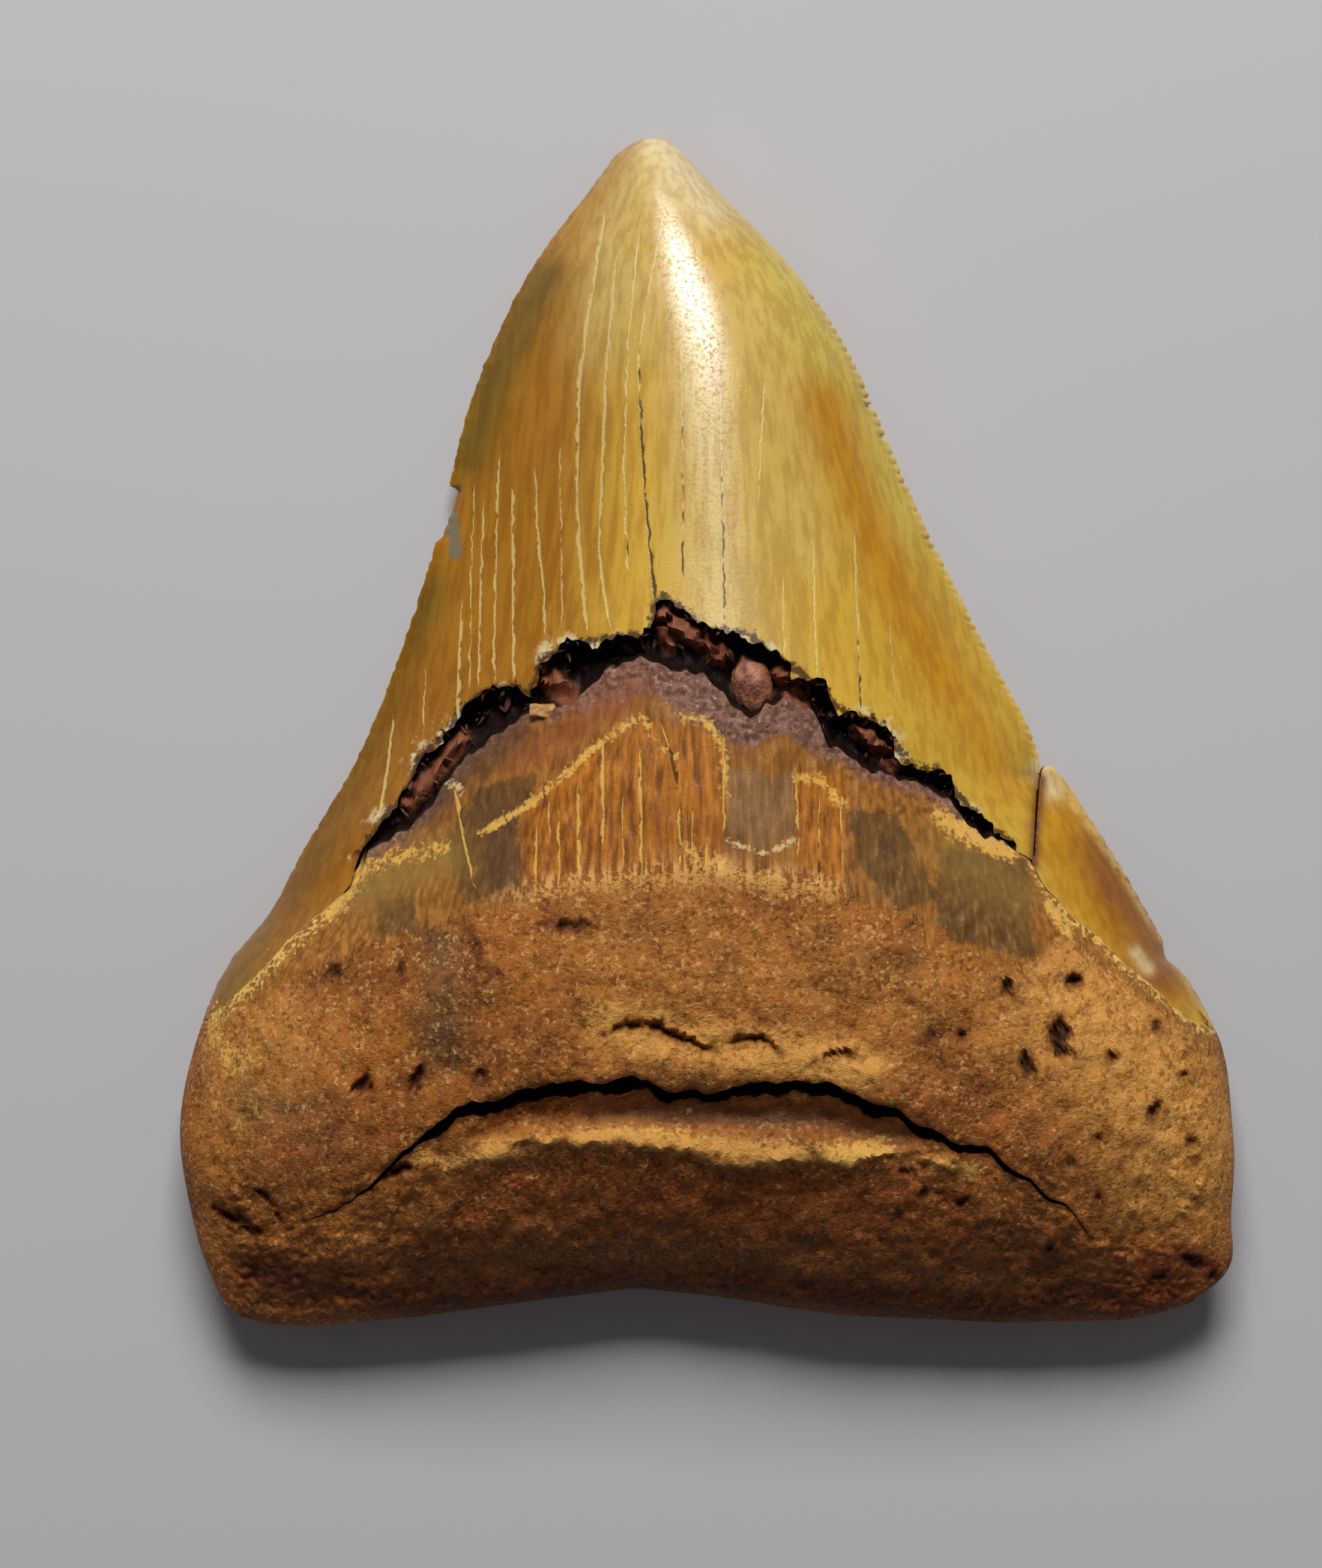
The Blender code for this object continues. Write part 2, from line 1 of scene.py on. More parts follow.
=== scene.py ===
"""Fossil megalodon tooth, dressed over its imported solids.

The crown's tip points along +Y, the convex lingual face looks up along +Z, and the labial face
rests on z = 0. Sizes are in millimetres unless a name says otherwise, and a mesh is written in
metres at the very end. A place on the tooth has a column, from -1 at the left edge to 1 at the
right, and a station, its section's Y on the centre line.
"""

from __future__ import annotations

import logging
import math
from dataclasses import dataclass, field
from enum import Enum
from typing import Callable, Sequence, Union

import bpy
import numpy as np
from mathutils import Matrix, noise


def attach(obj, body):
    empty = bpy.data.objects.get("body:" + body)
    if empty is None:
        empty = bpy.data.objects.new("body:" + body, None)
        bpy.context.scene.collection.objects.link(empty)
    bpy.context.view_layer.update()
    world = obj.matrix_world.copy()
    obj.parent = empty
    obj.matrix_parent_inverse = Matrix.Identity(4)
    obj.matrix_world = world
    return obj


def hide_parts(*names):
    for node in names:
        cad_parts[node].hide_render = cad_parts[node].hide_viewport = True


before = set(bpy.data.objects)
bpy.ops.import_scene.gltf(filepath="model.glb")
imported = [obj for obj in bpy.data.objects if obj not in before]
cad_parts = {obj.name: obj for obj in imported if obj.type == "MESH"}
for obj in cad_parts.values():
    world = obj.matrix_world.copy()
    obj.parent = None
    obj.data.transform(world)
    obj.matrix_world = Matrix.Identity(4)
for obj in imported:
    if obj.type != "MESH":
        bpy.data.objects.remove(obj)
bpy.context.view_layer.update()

Array = np.ndarray
Points = Sequence[tuple[float, float]]
Wave = tuple[float, float, float]
Paint = tuple[float, float, float, float]
Socket = bpy.types.NodeSocket
Value = Union[float, "Signal"]
Fill = Union[Paint, "Signal"]

LOG = logging.getLogger("tooth")
MM = 0.001

# In metres: how close corners must be to be joined, and how far the bump reaches.
WELD = 2e-7
BUMP_REACH = 0.0003

# Where the marked distances stop: on the root, and on the enamel from the broken margin.
FAR = 12.0
LIP_REACH = 28.0

# How wide the row that shuts a grid is, as a share of the grid's last row.
END_WIDTH = 0.6

# Outline in plan, as (y, x).
TIP_Y = 41.5
BASE_CORNER_Y = -39.8
BASE_HALF_WIDTH = 33.5
LEFT_EDGE = (
    (TIP_Y, -4.7), (40.8, -5.9), (39.6, -7.0), (37.7, -8.4), (33.5, -11.6), (28.2, -14.5),
    (22.0, -16.9), (15.6, -18.4), (9.3, -20.2), (3.0, -22.4), (-3.4, -25.3), (-9.7, -29.0),
    (-13.0, -30.8), (-15.4, -32.8), (-20.1, -35.1), (-24.2, -36.2), (-28.4, -36.6), (-32.5, -36.0),
    (-36.7, -34.9), (BASE_CORNER_Y, -BASE_HALF_WIDTH),
)
RIGHT_EDGE = (
    (TIP_Y, -2.8), (40.8, -1.9), (39.6, -0.8), (37.7, 1.0), (33.5, 5.1), (28.2, 9.1),
    (22.0, 12.1), (15.6, 14.8), (9.3, 17.9), (3.0, 21.2), (-0.2, 22.9), (-3.2, 24.3),
    (-5.5, 26.0), (-9.7, 29.0), (-13.9, 31.5), (-18.0, 34.0), (-22.2, 35.9), (-26.3, 36.4),
    (-30.4, 36.6), (-34.6, 36.4), (-37.7, 36.0), (BASE_CORNER_Y, BASE_HALF_WIDTH),
)
SHOULDER_TOP_Y = -3.2
SHOULDER_JOG = 0.9
CROWN_JOG_FADE = 1.2
SHOULDER_JOG_FADE = 4.0
JOG_COLUMN = 0.8

# The root's base, as (x, y), and where its curve dies out above it.
BASE_MIDDLE_Y = -38.8
ARCH_TOP_Y = -20.0
BASE_CURVE = (
    (-BASE_HALF_WIDTH, BASE_CORNER_Y), (-32.5, -40.7), (-30.4, -41.3), (-27.3, -41.4),
    (-20.0, -40.8), (-11.6, -39.6), (-4.9, BASE_MIDDLE_Y), (0.9, -39.4), (9.2, -40.7),
    (20.8, -41.2), (29.0, -41.0), (31.5, -40.5), (BASE_HALF_WIDTH, BASE_CORNER_Y),
)

# Profiles along the tooth, as (station, value).
CREST_HEIGHT = (
    (BASE_MIDDLE_Y, 4.8), (-38.3, 6.4), (-37.2, 7.8), (-35.0, 10.1), (-31.5, 12.9),
    (-28.5, 14.8), (-24.0, 16.3), (-19.5, 17.2), (-14.5, 17.5), (-8.0, 16.8), (1.0, 15.6),
    (9.0, 14.2), (19.0, 12.7), (25.5, 11.6), (31.5, 9.9), (36.0, 7.8), (39.0, 5.8),
    (40.8, 3.9), (TIP_Y, 2.8),
)
RIM_HEIGHT = (
    (BASE_MIDDLE_Y, 5.5), (-28.0, 5.6), (-22.0, 4.8), (-15.0, 3.2), (-8.0, 2.6), (10.0, 2.4),
    (30.0, 2.4), (TIP_Y, 2.4),
)
LABIAL_HEIGHT = (
    (BASE_MIDDLE_Y, 4.2), (-38.3, 2.2), (-37.2, 0.8), (-35.5, 0.0), (18.0, 0.0), (30.0, 0.4),
    (38.0, 1.2), (TIP_Y, 1.8),
)
SECTION_POWER = (
    (BASE_MIDDLE_Y, 3.0), (-25.0, 2.8), (-12.0, 2.4), (0.0, 2.05), (12.0, 1.95), (25.0, 2.0),
    (TIP_Y, 2.1),
)
SECTION_FULLNESS = (
    (BASE_MIDDLE_Y, 0.5), (-25.0, 0.52), (-15.0, 0.75), (-6.0, 1.05), (10.0, 1.2), (25.0, 1.05),
    (TIP_Y, 1.0),
)
CREST_SHIFT = ((BASE_MIDDLE_Y, 0.0), (-4.0, 0.0), (8.0, 0.1), (24.0, 0.2), (36.0, 0.15), (TIP_Y, 0.0))
FLAT_COLUMN = 0.55
LABIAL_CURL = ((BASE_MIDDLE_Y, 0.5), (-22.0, 0.5), (-8.0, 0.95), (TIP_Y, 1.0))

# Relief on the lingual face: lines as (x, y).
RECESS_LINE = ((-16.0, -27.6), (-12.4, -26.1), (-2.3, -25.9), (7.8, -26.3), (15.0, -28.3))
LEDGE_LINE = (
    (-16.5, -29.7), (-12.4, -27.8), (-6.5, -27.7), (-0.7, -28.4), (1.8, -29.6), (6.8, -28.7),
    (9.6, -29.4), (13.9, -28.3), (18.0, -30.2),
)
ENAMEL_BOUNDARY = (
    (-33.4, -19.1), (-30.5, -16.4), (-28.6, -14.3), (-26.0, -12.2), (-24.0, -10.6),
    (-22.0, -8.0), (22.0, -8.0), (23.2, -10.9), (24.9, -12.9), (27.0, -14.4), (28.6, -16.2),
    (30.8, -17.9), (33.0, -20.0),
)

# The crown's broken margin, and the ragged top of the root that faces it across the crevice.
CROWN_MARGIN = (
    (-24.1, -8.6), (-22.2, -5.9), (-20.7, -4.2), (-19.8, -1.7), (-17.8, 0.0), (-16.9, 1.4),
    (-15.4, 2.7), (-13.1, 3.0), (-12.2, 2.3), (-11.3, 4.8), (-9.9, 5.6), (-7.1, 6.2),
    (-3.9, 6.4), (-3.6, 8.5), (-3.0, 8.9), (-2.0, 8.2), (-0.3, 6.9), (1.1, 6.6), (2.9, 6.3),
    (4.2, 5.1), (6.2, 3.8), (7.9, 2.8), (8.7, 1.5), (10.4, 0.7), (11.8, 0.3), (13.2, -1.6),
    (13.9, -2.6), (15.7, -2.7), (17.3, -4.5), (18.7, -6.3), (21.0, -7.7),
)
ROOT_MARGIN = (
    (-23.4, -8.5), (-20.2, -6.5), (-18.7, -4.8), (-17.2, -2.5), (-14.6, -0.5), (-12.5, 1.0),
    (-10.0, 1.4), (-8.2, 2.7), (-6.7, 4.1), (-4.4, 4.8), (-2.5, 4.0), (-0.3, 3.6), (1.0, 2.4),
    (2.0, 1.2), (2.9, 0.7), (3.8, 1.4), (5.3, 2.1), (7.1, 1.2), (8.1, -1.1), (10.9, -2.8),
    (13.9, -3.5), (16.5, -4.9), (18.1, -6.8), (20.6, -8.0),
)
LEFT_CORNER = (-34.7, -19.8)
RIGHT_CORNER = (35.3, -20.9)
SHOULDER_CRACK = (
    (-1.6, 23.6), (-3.4, 23.2), (-6.5, 22.7), (-9.0, 22.4), (-11.6, 22.5), (-16.5, 22.8),
)

# Nicks of the right cutting edge, as (depth, y, reach).
RIGHT_NICKS = ((0.45, 22.8, 0.16), (0.35, 20.6, 0.2))
LABIAL_LINE = (
    LEFT_CORNER, (-25.0, -17.0), (-12.0, -14.6), (0.0, -13.8), (12.0, -14.4), (22.8, -16.2),
    RIGHT_CORNER,
)

# The root's long crack, and the line under its enamel film that rows of faces follow.
CRACK_LINE = (
    (-37.0, -34.2), (-30.0, -33.9), (-27.5, -33.4), (-25.4, -33.0), (-23.4, -31.3),
    (-21.8, -30.1), (-20.4, -28.7), (-19.2, -27.4), (-16.9, -26.1), (-13.8, -25.1),
    (-11.3, -24.5), (-8.2, -24.1), (-4.0, -24.0), (-2.0, -24.8), (-0.3, -24.9),
    (2.7, -24.2), (8.0, -24.1), (10.3, -25.3), (12.8, -26.1), (16.0, -27.8),
    (19.1, -29.0), (21.7, -30.6), (24.2, -32.3), (26.0, -34.6), (28.0, -35.8),
    (37.0, -36.5),
)
CRACK_HALF_WIDTH = (
    (-28.0, 0.0), (-27.0, 0.12), (-23.5, 0.16), (-21.0, 0.28), (-19.0, 0.5), (-14.0, 0.6),
    (-8.0, 0.62), (-3.5, 0.6), (-2.2, 0.34), (0.0, 0.36), (3.0, 0.55), (8.0, 0.6),
    (12.0, 0.55), (16.0, 0.42), (20.0, 0.3), (23.0, 0.2), (25.8, 0.12), (26.5, 0.0),
)
FRINGE_GUIDE = (
    (-37.0, -26.0), (-30.0, -20.5), (-25.0, -16.5), (-19.5, -13.5), (-12.4, -11.4),
    (-6.3, -10.4), (-0.3, -9.9), (7.8, -10.9), (15.4, -12.5), (20.0, -14.5),
    (28.0, -21.0), (37.0, -27.0),
)
ENAMEL_FRINGE = (
    (-33.4, -19.6), (-26.9, -16.2), (-19.5, -13.5), (-12.4, -11.4), (-6.3, -10.4),
    (-0.3, -9.9), (7.8, -10.9), (15.4, -13.5), (19.0, -16.0), (22.0, -15.9), (24.0, -13.9),
    (28.0, -16.7), (34.0, -21.5),
)


class Part(Enum):
    """What a place on the lingual face belongs to."""

    CROWN = "crown"
    SHOULDER = "shoulder"
    ROOT = "root"


def spline(points: Points, at: Array) -> Array:
    """Natural cubic spline.

    Args:
        points: (place, value) knots.
        at: Places to read it at.

    Returns:
        The values there.
    """
    knots = np.array(sorted(points))
    places, values = knots[:, 0], knots[:, 1]
    gaps = np.diff(places)
    matrix = np.eye(len(places))
    target = np.zeros(len(places))
    for i in range(1, len(places) - 1):
        matrix[i, i - 1 : i + 2] = gaps[i - 1], 2 * (gaps[i - 1] + gaps[i]), gaps[i]
        slopes = (values[i + 1] - values[i]) / gaps[i], (values[i] - values[i - 1]) / gaps[i - 1]
        target[i] = 6 * (slopes[0] - slopes[1])
    bend = np.linalg.solve(matrix, target)
    at = np.clip(at, places[0], places[-1])
    i = np.clip(np.searchsorted(places, at) - 1, 0, len(gaps) - 1)
    gap = gaps[i]
    after, before = at - places[i], places[i + 1] - at
    cubic = (bend[i] * before**3 + bend[i + 1] * after**3) / (6 * gap)
    left = (values[i] / gap - bend[i] * gap / 6) * before
    right = (values[i + 1] / gap - bend[i + 1] * gap / 6) * after
    return cubic + left + right


def straight(points: Points, at: Array) -> Array:
    """Straight runs through (place, value) points, read at the places `at`."""
    places, values = zip(*sorted(points))
    return np.interp(at, places, values)


def smoothstep(low: float, high: float, value: Array) -> Array:
    """0 below low, 1 above high, and a smooth change between them."""
    t = np.clip((value - low) / (high - low), 0.0, 1.0)
    return t * t * (3 - 2 * t)


def hump(distance: Array, reach: float) -> Array:
    """A bell of height 1 that fades over about `reach`."""
    return np.exp(-((distance / reach) ** 2))


def rough(x: Array, y: Array, size: float, seed: float = 0.0) -> Array:
    """Smooth random lumps of about +-0.5.

    Args:
        x: First coordinate of each place.
        y: Second coordinate of each place.
        size: Width of a lump.
        seed: Which of the many lumpy fields to read.

    Returns:
        One number for each place.
    """
    flat = zip((x / size).ravel(), (y / size).ravel())
    return np.array([noise.noise((a, b, seed)) for a, b in flat]).reshape(np.shape(x))


def rubble(x: Array, y: Array, *waves: Wave) -> Array:
    """Rough fields laid over each other, each with its (height, size, seed)."""
    return sum(height * rough(x, y, size, seed) for height, size, seed in waves)


def ripple(along: Array, *waves: Wave) -> Array:
    """Rough fields laid over each other along a line, each with its (height, size, seed)."""
    return rubble(along, along * 0, *waves)


def path_distance(x: Array, y: Array, path: Points) -> tuple[Array, Array]:
    """Distance to a line of straight runs.

    Args:
        x: X of each place.
        y: Y of each place.
        path: The line's points.

    Returns:
        The distance of each place to the line, and how far along the line that is, from 0 to 1.
    """
    corners = np.array(path, float)
    lengths = np.hypot(*np.diff(corners, axis=0).T)
    starts = np.concatenate([[0], np.cumsum(lengths)])
    nearest = np.full(np.shape(x), 1e9)
    along = np.zeros(np.shape(x))
    for (ax, ay), (bx, by), length, start in zip(corners, corners[1:], lengths, starts):
        t = np.clip(((x - ax) * (bx - ax) + (y - ay) * (by - ay)) / length**2, 0, 1)
        d = np.hypot(x - ax - t * (bx - ax), y - ay - t * (by - ay))
        closer = d < nearest
        nearest = np.where(closer, d, nearest)
        along = np.where(closer, (start + t * length) / starts[-1], along)
    return nearest, along


def patch_depth(x: Array, y: Array, outline: Points) -> Array:
    """How far each place lies inside a closed outline; negative outside it."""
    inside = np.zeros(np.shape(x), bool)
    loop = list(outline) + [outline[0]]
    for (ax, ay), (bx, by) in zip(loop, loop[1:]):
        if ay == by:
            continue
        crosses = ((ay > y) != (by > y)) & (x < (bx - ax) * (y - ay) / (by - ay) + ax)
        inside ^= crosses
    distance = path_distance(x, y, loop)[0]
    return np.where(inside, distance, -distance)


@dataclass(frozen=True)
class ToothForm:
    """The tooth's unbroken form: its outline, its lingual face and its labial face."""

    recess_depth: float = 1.5
    recess_reach: float = 1.3
    ledge_height: float = 0.5
    ledge_reach: float = 0.9
    brow_rise: float = 0.6
    brow_reach: float = 1.8
    brow_offset: float = 3.4
    relief_fade: tuple[float, float] = (12.0, 18.0)
    lump_height: float = 0.35
    lump_size: float = 4.0
    lump_fade: tuple[float, float] = (-14.0, -9.0)
    crown_step: float = 0.5
    shoulder_drop: float = 0.7
    shoulder_fade: tuple[float, float] = (22.0, 25.0)
    shoulder_reach: tuple[float, float] = (1.0, 4.0)
    rounds: int = 20

    def edges(self, y: Array) -> tuple[Array, Array]:
        """X of the left and right edges of the outline, without the shoulder's jog."""
        return spline(LEFT_EDGE, y), spline(RIGHT_EDGE, y)

    def jog(self, column: Array, y: Array, part: Part) -> Array:
        """How far the break in the right shoulder moves a column outwards."""
        above = np.maximum(y - SHOULDER_TOP_Y, 0)
        below = np.maximum(SHOULDER_TOP_Y - y, 0)
        if part is Part.CROWN:
            jog = -SHOULDER_JOG * np.exp(-above / CROWN_JOG_FADE - below / SHOULDER_JOG_FADE)
        else:
            jog = SHOULDER_JOG * np.exp(-below / SHOULDER_JOG_FADE)
        return jog * smoothstep(JOG_COLUMN, 1.0, column)

    def lowered(self, station: Array, base_y: Union[float, Array]) -> Array:
        """Y of a row: its station, which turns into the base's curve below the arch."""
        share = np.clip((ARCH_TOP_Y - station) / (ARCH_TOP_Y - BASE_MIDDLE_Y), 0, 1)
        return np.where(share > 0, share * base_y + (1 - share) * ARCH_TOP_Y, station)

    def plan(self, column: Array, station: Array) -> tuple[Array, Array]:
        """(x, y) of each column at each station of the root."""
        y = self.lowered(station, straight(BASE_CURVE, column * BASE_HALF_WIDTH))
        left, right = self.edges(self.lowered(station, BASE_CORNER_Y))
        x = left + (right - left) * (column + 1) / 2 + self.jog(column, y, Part.ROOT)
        return x, y

    def locate(self, x: Array, y: Array, part: Part = Part.ROOT) -> tuple[Array, Array]:
        """The column and station of places in plan, closed in on round by round."""
        station = np.array(y, float)
        column = np.zeros(np.shape(station))
        for _ in range(self.rounds):
            left, right = self.edges(self.lowered(station, BASE_CORNER_Y))
            shifted = x - self.jog(column, y, part)
            column = np.clip(2 * (shifted - left) / (right - left) - 1, -1, 1)
            curve_y = straight(BASE_CURVE, column * BASE_HALF_WIDTH)
            share = (ARCH_TOP_Y - y) / (ARCH_TOP_Y - curve_y)
            station = np.where(y < ARCH_TOP_Y, ARCH_TOP_Y - (ARCH_TOP_Y - BASE_MIDDLE_Y) * share, y)
        return column, station

    def relief(self, x: Array, y: Array, column: Array, part: Part) -> Array:
        """Height of the lumps, ledge and steps that stand on the smooth lingual face."""
        inner = 1 - np.abs(column) ** 4
        lumps = self.lump_height * rough(x, y, self.lump_size)
        height = lumps * (1 - smoothstep(*self.lump_fade, y)) * inner
        span = 1 - smoothstep(*self.relief_fade, np.abs(x))
        recess_y = straight(RECESS_LINE, x)
        height -= span * self.recess_depth * hump(y - recess_y, self.recess_reach)
        height += span * self.brow_rise * hump(y - recess_y - self.brow_offset, self.brow_reach)
        height += span * self.ledge_height * hump(y - straight(LEDGE_LINE, x), self.ledge_reach)
        if part is Part.ROOT:
            return height
        middle = (straight(CROWN_MARGIN, x) + straight(ROOT_MARGIN, x)) / 2
        height += inner * self.crown_step * smoothstep(-1.0, 1.0, y - middle)
        above = y - straight(ENAMEL_BOUNDARY, x)
        fade = smoothstep(*self.shoulder_fade, np.abs(x)) * (1 - smoothstep(*self.shoulder_reach, above))
        return height - self.shoulder_drop * fade * inner

    def lingual(self, column: Array, station: Array) -> Array:
        """Z of the smooth lingual face."""
        rim = spline(RIM_HEIGHT, station)
        crest = spline(CREST_HEIGHT, station)
        leaning = column - straight(CREST_SHIFT, station) * (1 - column**2)
        fall = 1 - np.abs(leaning) ** spline(SECTION_POWER, station)
        return rim + (crest - rim) * np.maximum(fall, 0) ** spline(SECTION_FULLNESS, station)

    def labial(self, column: Array, station: Array) -> Array:
        """Z of the labial face, which is flat over its middle half."""
        flat = np.maximum(straight(LABIAL_HEIGHT, station), 0)
        rim = spline(RIM_HEIGHT, station)
        curled = np.maximum((np.abs(column) - FLAT_COLUMN) / (1 - FLAT_COLUMN), 0)
        curl = 1 - np.maximum(1 - curled**2, 0) ** spline(LABIAL_CURL, station)
        return flat + (rim - flat) * curl

    def face(self, x: Array, y: Array, part: Part) -> Array:
        """Z of the lingual face of one part above places in plan."""
        column, station = self.locate(x, y, part)
        return self.lingual(column, station) + self.relief(x, y, column, part)

    def height_at(self, x: float, y: float, part: Part) -> float:
        """Z of the lingual face of one part above one place in plan."""
        return float(self.face(np.array([x]), np.array([y]), part)[0])

    def underside(self, x: Array, y: Array, part: Part) -> Array:
        """Z of the labial face below places in plan."""
        return self.labial(*self.locate(x, y, part))


@dataclass
class Sheet:
    """One grid of places, with the numbers that are marked on it."""

    places: Array
    marks: dict[str, Array] = field(default_factory=dict)

    @property
    def x(self) -> Array:
        """X of each place."""
        return self.places[..., 0]

    @property
    def y(self) -> Array:
        """Y of each place."""
        return self.places[..., 1]

    def mark(self, name: str, values: Union[float, Array]) -> None:
        """Writes one number on each place."""
        self.marks[name] = np.broadcast_to(values, self.places.shape[:2])


def stack(x: Array, y: Array, z: Array) -> Array:
    """Places from their three coordinates."""
    return np.stack(np.broadcast_arrays(x, y, z), axis=-1)


def deselect() -> None:
    """Clears the selection, so that the next operator acts on its own objects alone."""
    if bpy.context.object and bpy.context.object.mode != "OBJECT":
        bpy.ops.object.mode_set(mode="OBJECT")
    bpy.ops.object.select_all(action="DESELECT")


def pick(objects: Sequence[bpy.types.Object]) -> None:
    """Selects these objects and makes the first one active."""
    deselect()
    for one in objects:
        one.select_set(True)
    bpy.context.view_layer.objects.active = objects[0]


def read_points(made: bpy.types.Object) -> Array:
    """The places of an object's vertices, in metres."""
    flat = np.empty(len(made.data.vertices) * 3)
    made.data.vertices.foreach_get("co", flat)
    return flat.reshape(-1, 3)


def write_points(made: bpy.types.Object, points: Array) -> None:
    """Moves an object's vertices to places given in millimetres."""
    made.data.vertices.foreach_set("co", (points * MM).astype(np.float32).ravel())


def spread_sheet(sheet: Sheet) -> bpy.types.Object:
    """A grid primitive whose corners are moved to the sheet's places."""
    rows, columns = sheet.places.shape[:2]
    deselect()
    bpy.ops.mesh.primitive_grid_add(
        x_subdivisions=columns - 1, y_subdivisions=rows - 1, size=1, calc_uvs=False
    )
    made = bpy.context.object
    write_points(made, sheet.places)
    for name, values in sheet.marks.items():
        mark = made.data.attributes.new(name, "FLOAT", "POINT")
        mark.data.foreach_set("value", values.astype(np.float32).ravel())
    return made


def weld(name: str, parts: Sequence[bpy.types.Object], sharp: float) -> bpy.types.Object:
    """Joins meshes whose borders meet into one closed piece.

    Args:
        name: The piece's name.
        parts: The meshes.
        sharp: Edges that fold more than this many degrees stay sharp.

    Returns:
        The piece, with its faces pointing outwards.
    """
    pick(parts)
    if len(parts) > 1:
        bpy.ops.object.join()
    piece = bpy.context.object
    bpy.ops.object.mode_set(mode="EDIT")
    bpy.ops.mesh.select_all(action="SELECT")
    bpy.ops.mesh.remove_doubles(threshold=WELD)
    bpy.ops.mesh.normals_make_consistent(inside=False)
    bpy.ops.object.mode_set(mode="OBJECT")
    bpy.ops.object.shade_smooth_by_angle(angle=math.radians(sharp))
    piece.name = name
    piece.data.name = name
    return piece


def settle(piece: bpy.types.Object, node: str, material: bpy.types.Material) -> None:
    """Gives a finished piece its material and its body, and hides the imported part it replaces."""
    piece.data.materials.clear()
    piece.data.materials.append(material)
    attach(piece, "root")
    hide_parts(node)
    LOG.info("%s: %d faces", piece.name, len(piece.data.polygons))


def facing(x: Array, y: Array, width: int) -> Array:
    """The direction to the left of a line's smoothed course, at each of its places."""
    kernel = np.ones(2 * width + 1) / (2 * width + 1)
    padded = np.pad(np.stack([x, y]), ((0, 0), (width, width)), mode="edge")
    smooth = np.stack([np.convolve(line, kernel, "valid") for line in padded])
    along = np.gradient(smooth, axis=1)
    along /= np.hypot(*along)
    return np.stack([-along[1], along[0]])


def relax(x: Array, y: Array, rounds: int) -> tuple[Array, Array]:
    """Evens out a grid between its fixed borders, so that no cell folds over another.

    Each round moves every inner corner towards the place that smooth grid lines would give it.

    Args:
        x: X of each corner.
        y: Y of each corner.
        rounds: How many rounds to make.

    Returns:
        The evened corners' X and Y.
    """
    x, y = x.copy(), y.copy()
    for _ in range(rounds):
        across = [(f[1:-1, 2:] - f[1:-1, :-2]) / 2 for f in (x, y)]
        along = [(f[2:, 1:-1] - f[:-2, 1:-1]) / 2 for f in (x, y)]
        a = along[0] ** 2 + along[1] ** 2
        b = across[0] * along[0] + across[1] * along[1]
        c = across[0] ** 2 + across[1] ** 2
        for f in (x, y):
            corners = (f[2:, 2:] - f[2:, :-2] - f[:-2, 2:] + f[:-2, :-2]) / 4
            pull = a * (f[1:-1, 2:] + f[1:-1, :-2]) + c * (f[2:, 1:-1] + f[:-2, 1:-1])
            f[1:-1, 1:-1] = (pull - 2 * b * corners) / (2 * (a + c) + 1e-12)
    return x, y


def snap(row: Array, count: int) -> Array:
    """A row of `count` places, each one the nearest of a coarser row's places."""
    index = np.round(np.linspace(0, len(row) - 1, count)).astype(int)
    return row[index]


def bridge(top: Array, bottom: Array, count: int) -> Array:
    """Straight runs of `count` places from one column of places to another."""
    share = np.linspace(0, 1, count)[None, :, None]
    return top * (1 - share) + bottom * share


def end_row(row: Array, rise: float, z: float) -> Array:
    """A row just past the end of a grid, drawn together and laid at one height."""
    moved = row.copy()
    middle = row[:, 0].mean()
    moved[:, 0] = middle + (row[:, 0] - middle) * END_WIDTH
    moved[:, 1] += rise
    moved[:, 2] = z
    return moved


def spread_share(left: Array, right: Array, u: Array) -> Array:
    """Shares of each row, blended from its left end to its right end."""
    return left[:, None] * (1 - u) + right[:, None] * u


def turn_matrix(angles: Sequence[float]) -> Array:
    """A turn about all three axes, as a matrix."""
    (ca, cb, cc), (sa, sb, sc) = np.cos(angles), np.sin(angles)
    about_x = np.array([[1, 0, 0], [0, ca, -sa], [0, sa, ca]])
    about_y = np.array([[cb, 0, sb], [0, 1, 0], [-sb, 0, cb]])
    about_z = np.array([[cc, -sc, 0], [sc, cc, 0], [0, 0, 1]])
    return about_z @ about_y @ about_x


@dataclass(frozen=True)
class Fissure:
    """A narrow crack in the root: a path in plan, its greatest half width and its depth."""

    path: Points
    half_width: float
    depth: float


@dataclass(frozen=True)
class Pit:
    """A hole in the root: its place, half sizes, turn in degrees and depth."""

    x: float
    y: float
    across: float
    along: float
    turn: float
    depth: float

    @property
    def size(self) -> float:
        """The smaller of its half sizes."""
        return min(self.across, self.along)


@dataclass(frozen=True)
class Stain:
    """A soft-edged place on the tooth: its path, its reach and its strength."""

    path: Points
    reach: float
    strength: float = 1.0

    def share(self, x: Array, y: Array) -> Array:
        """How strongly it shows at each place."""
        return self.strength * hump(path_distance(x, y, self.path)[0], self.reach)


@dataclass(frozen=True)
class Hairline:
    """A crack too fine to part the surface: a path, how strong it shows and how dark it is."""

    path: Points
    strength: float = 1.0
    dark: float = 0.0


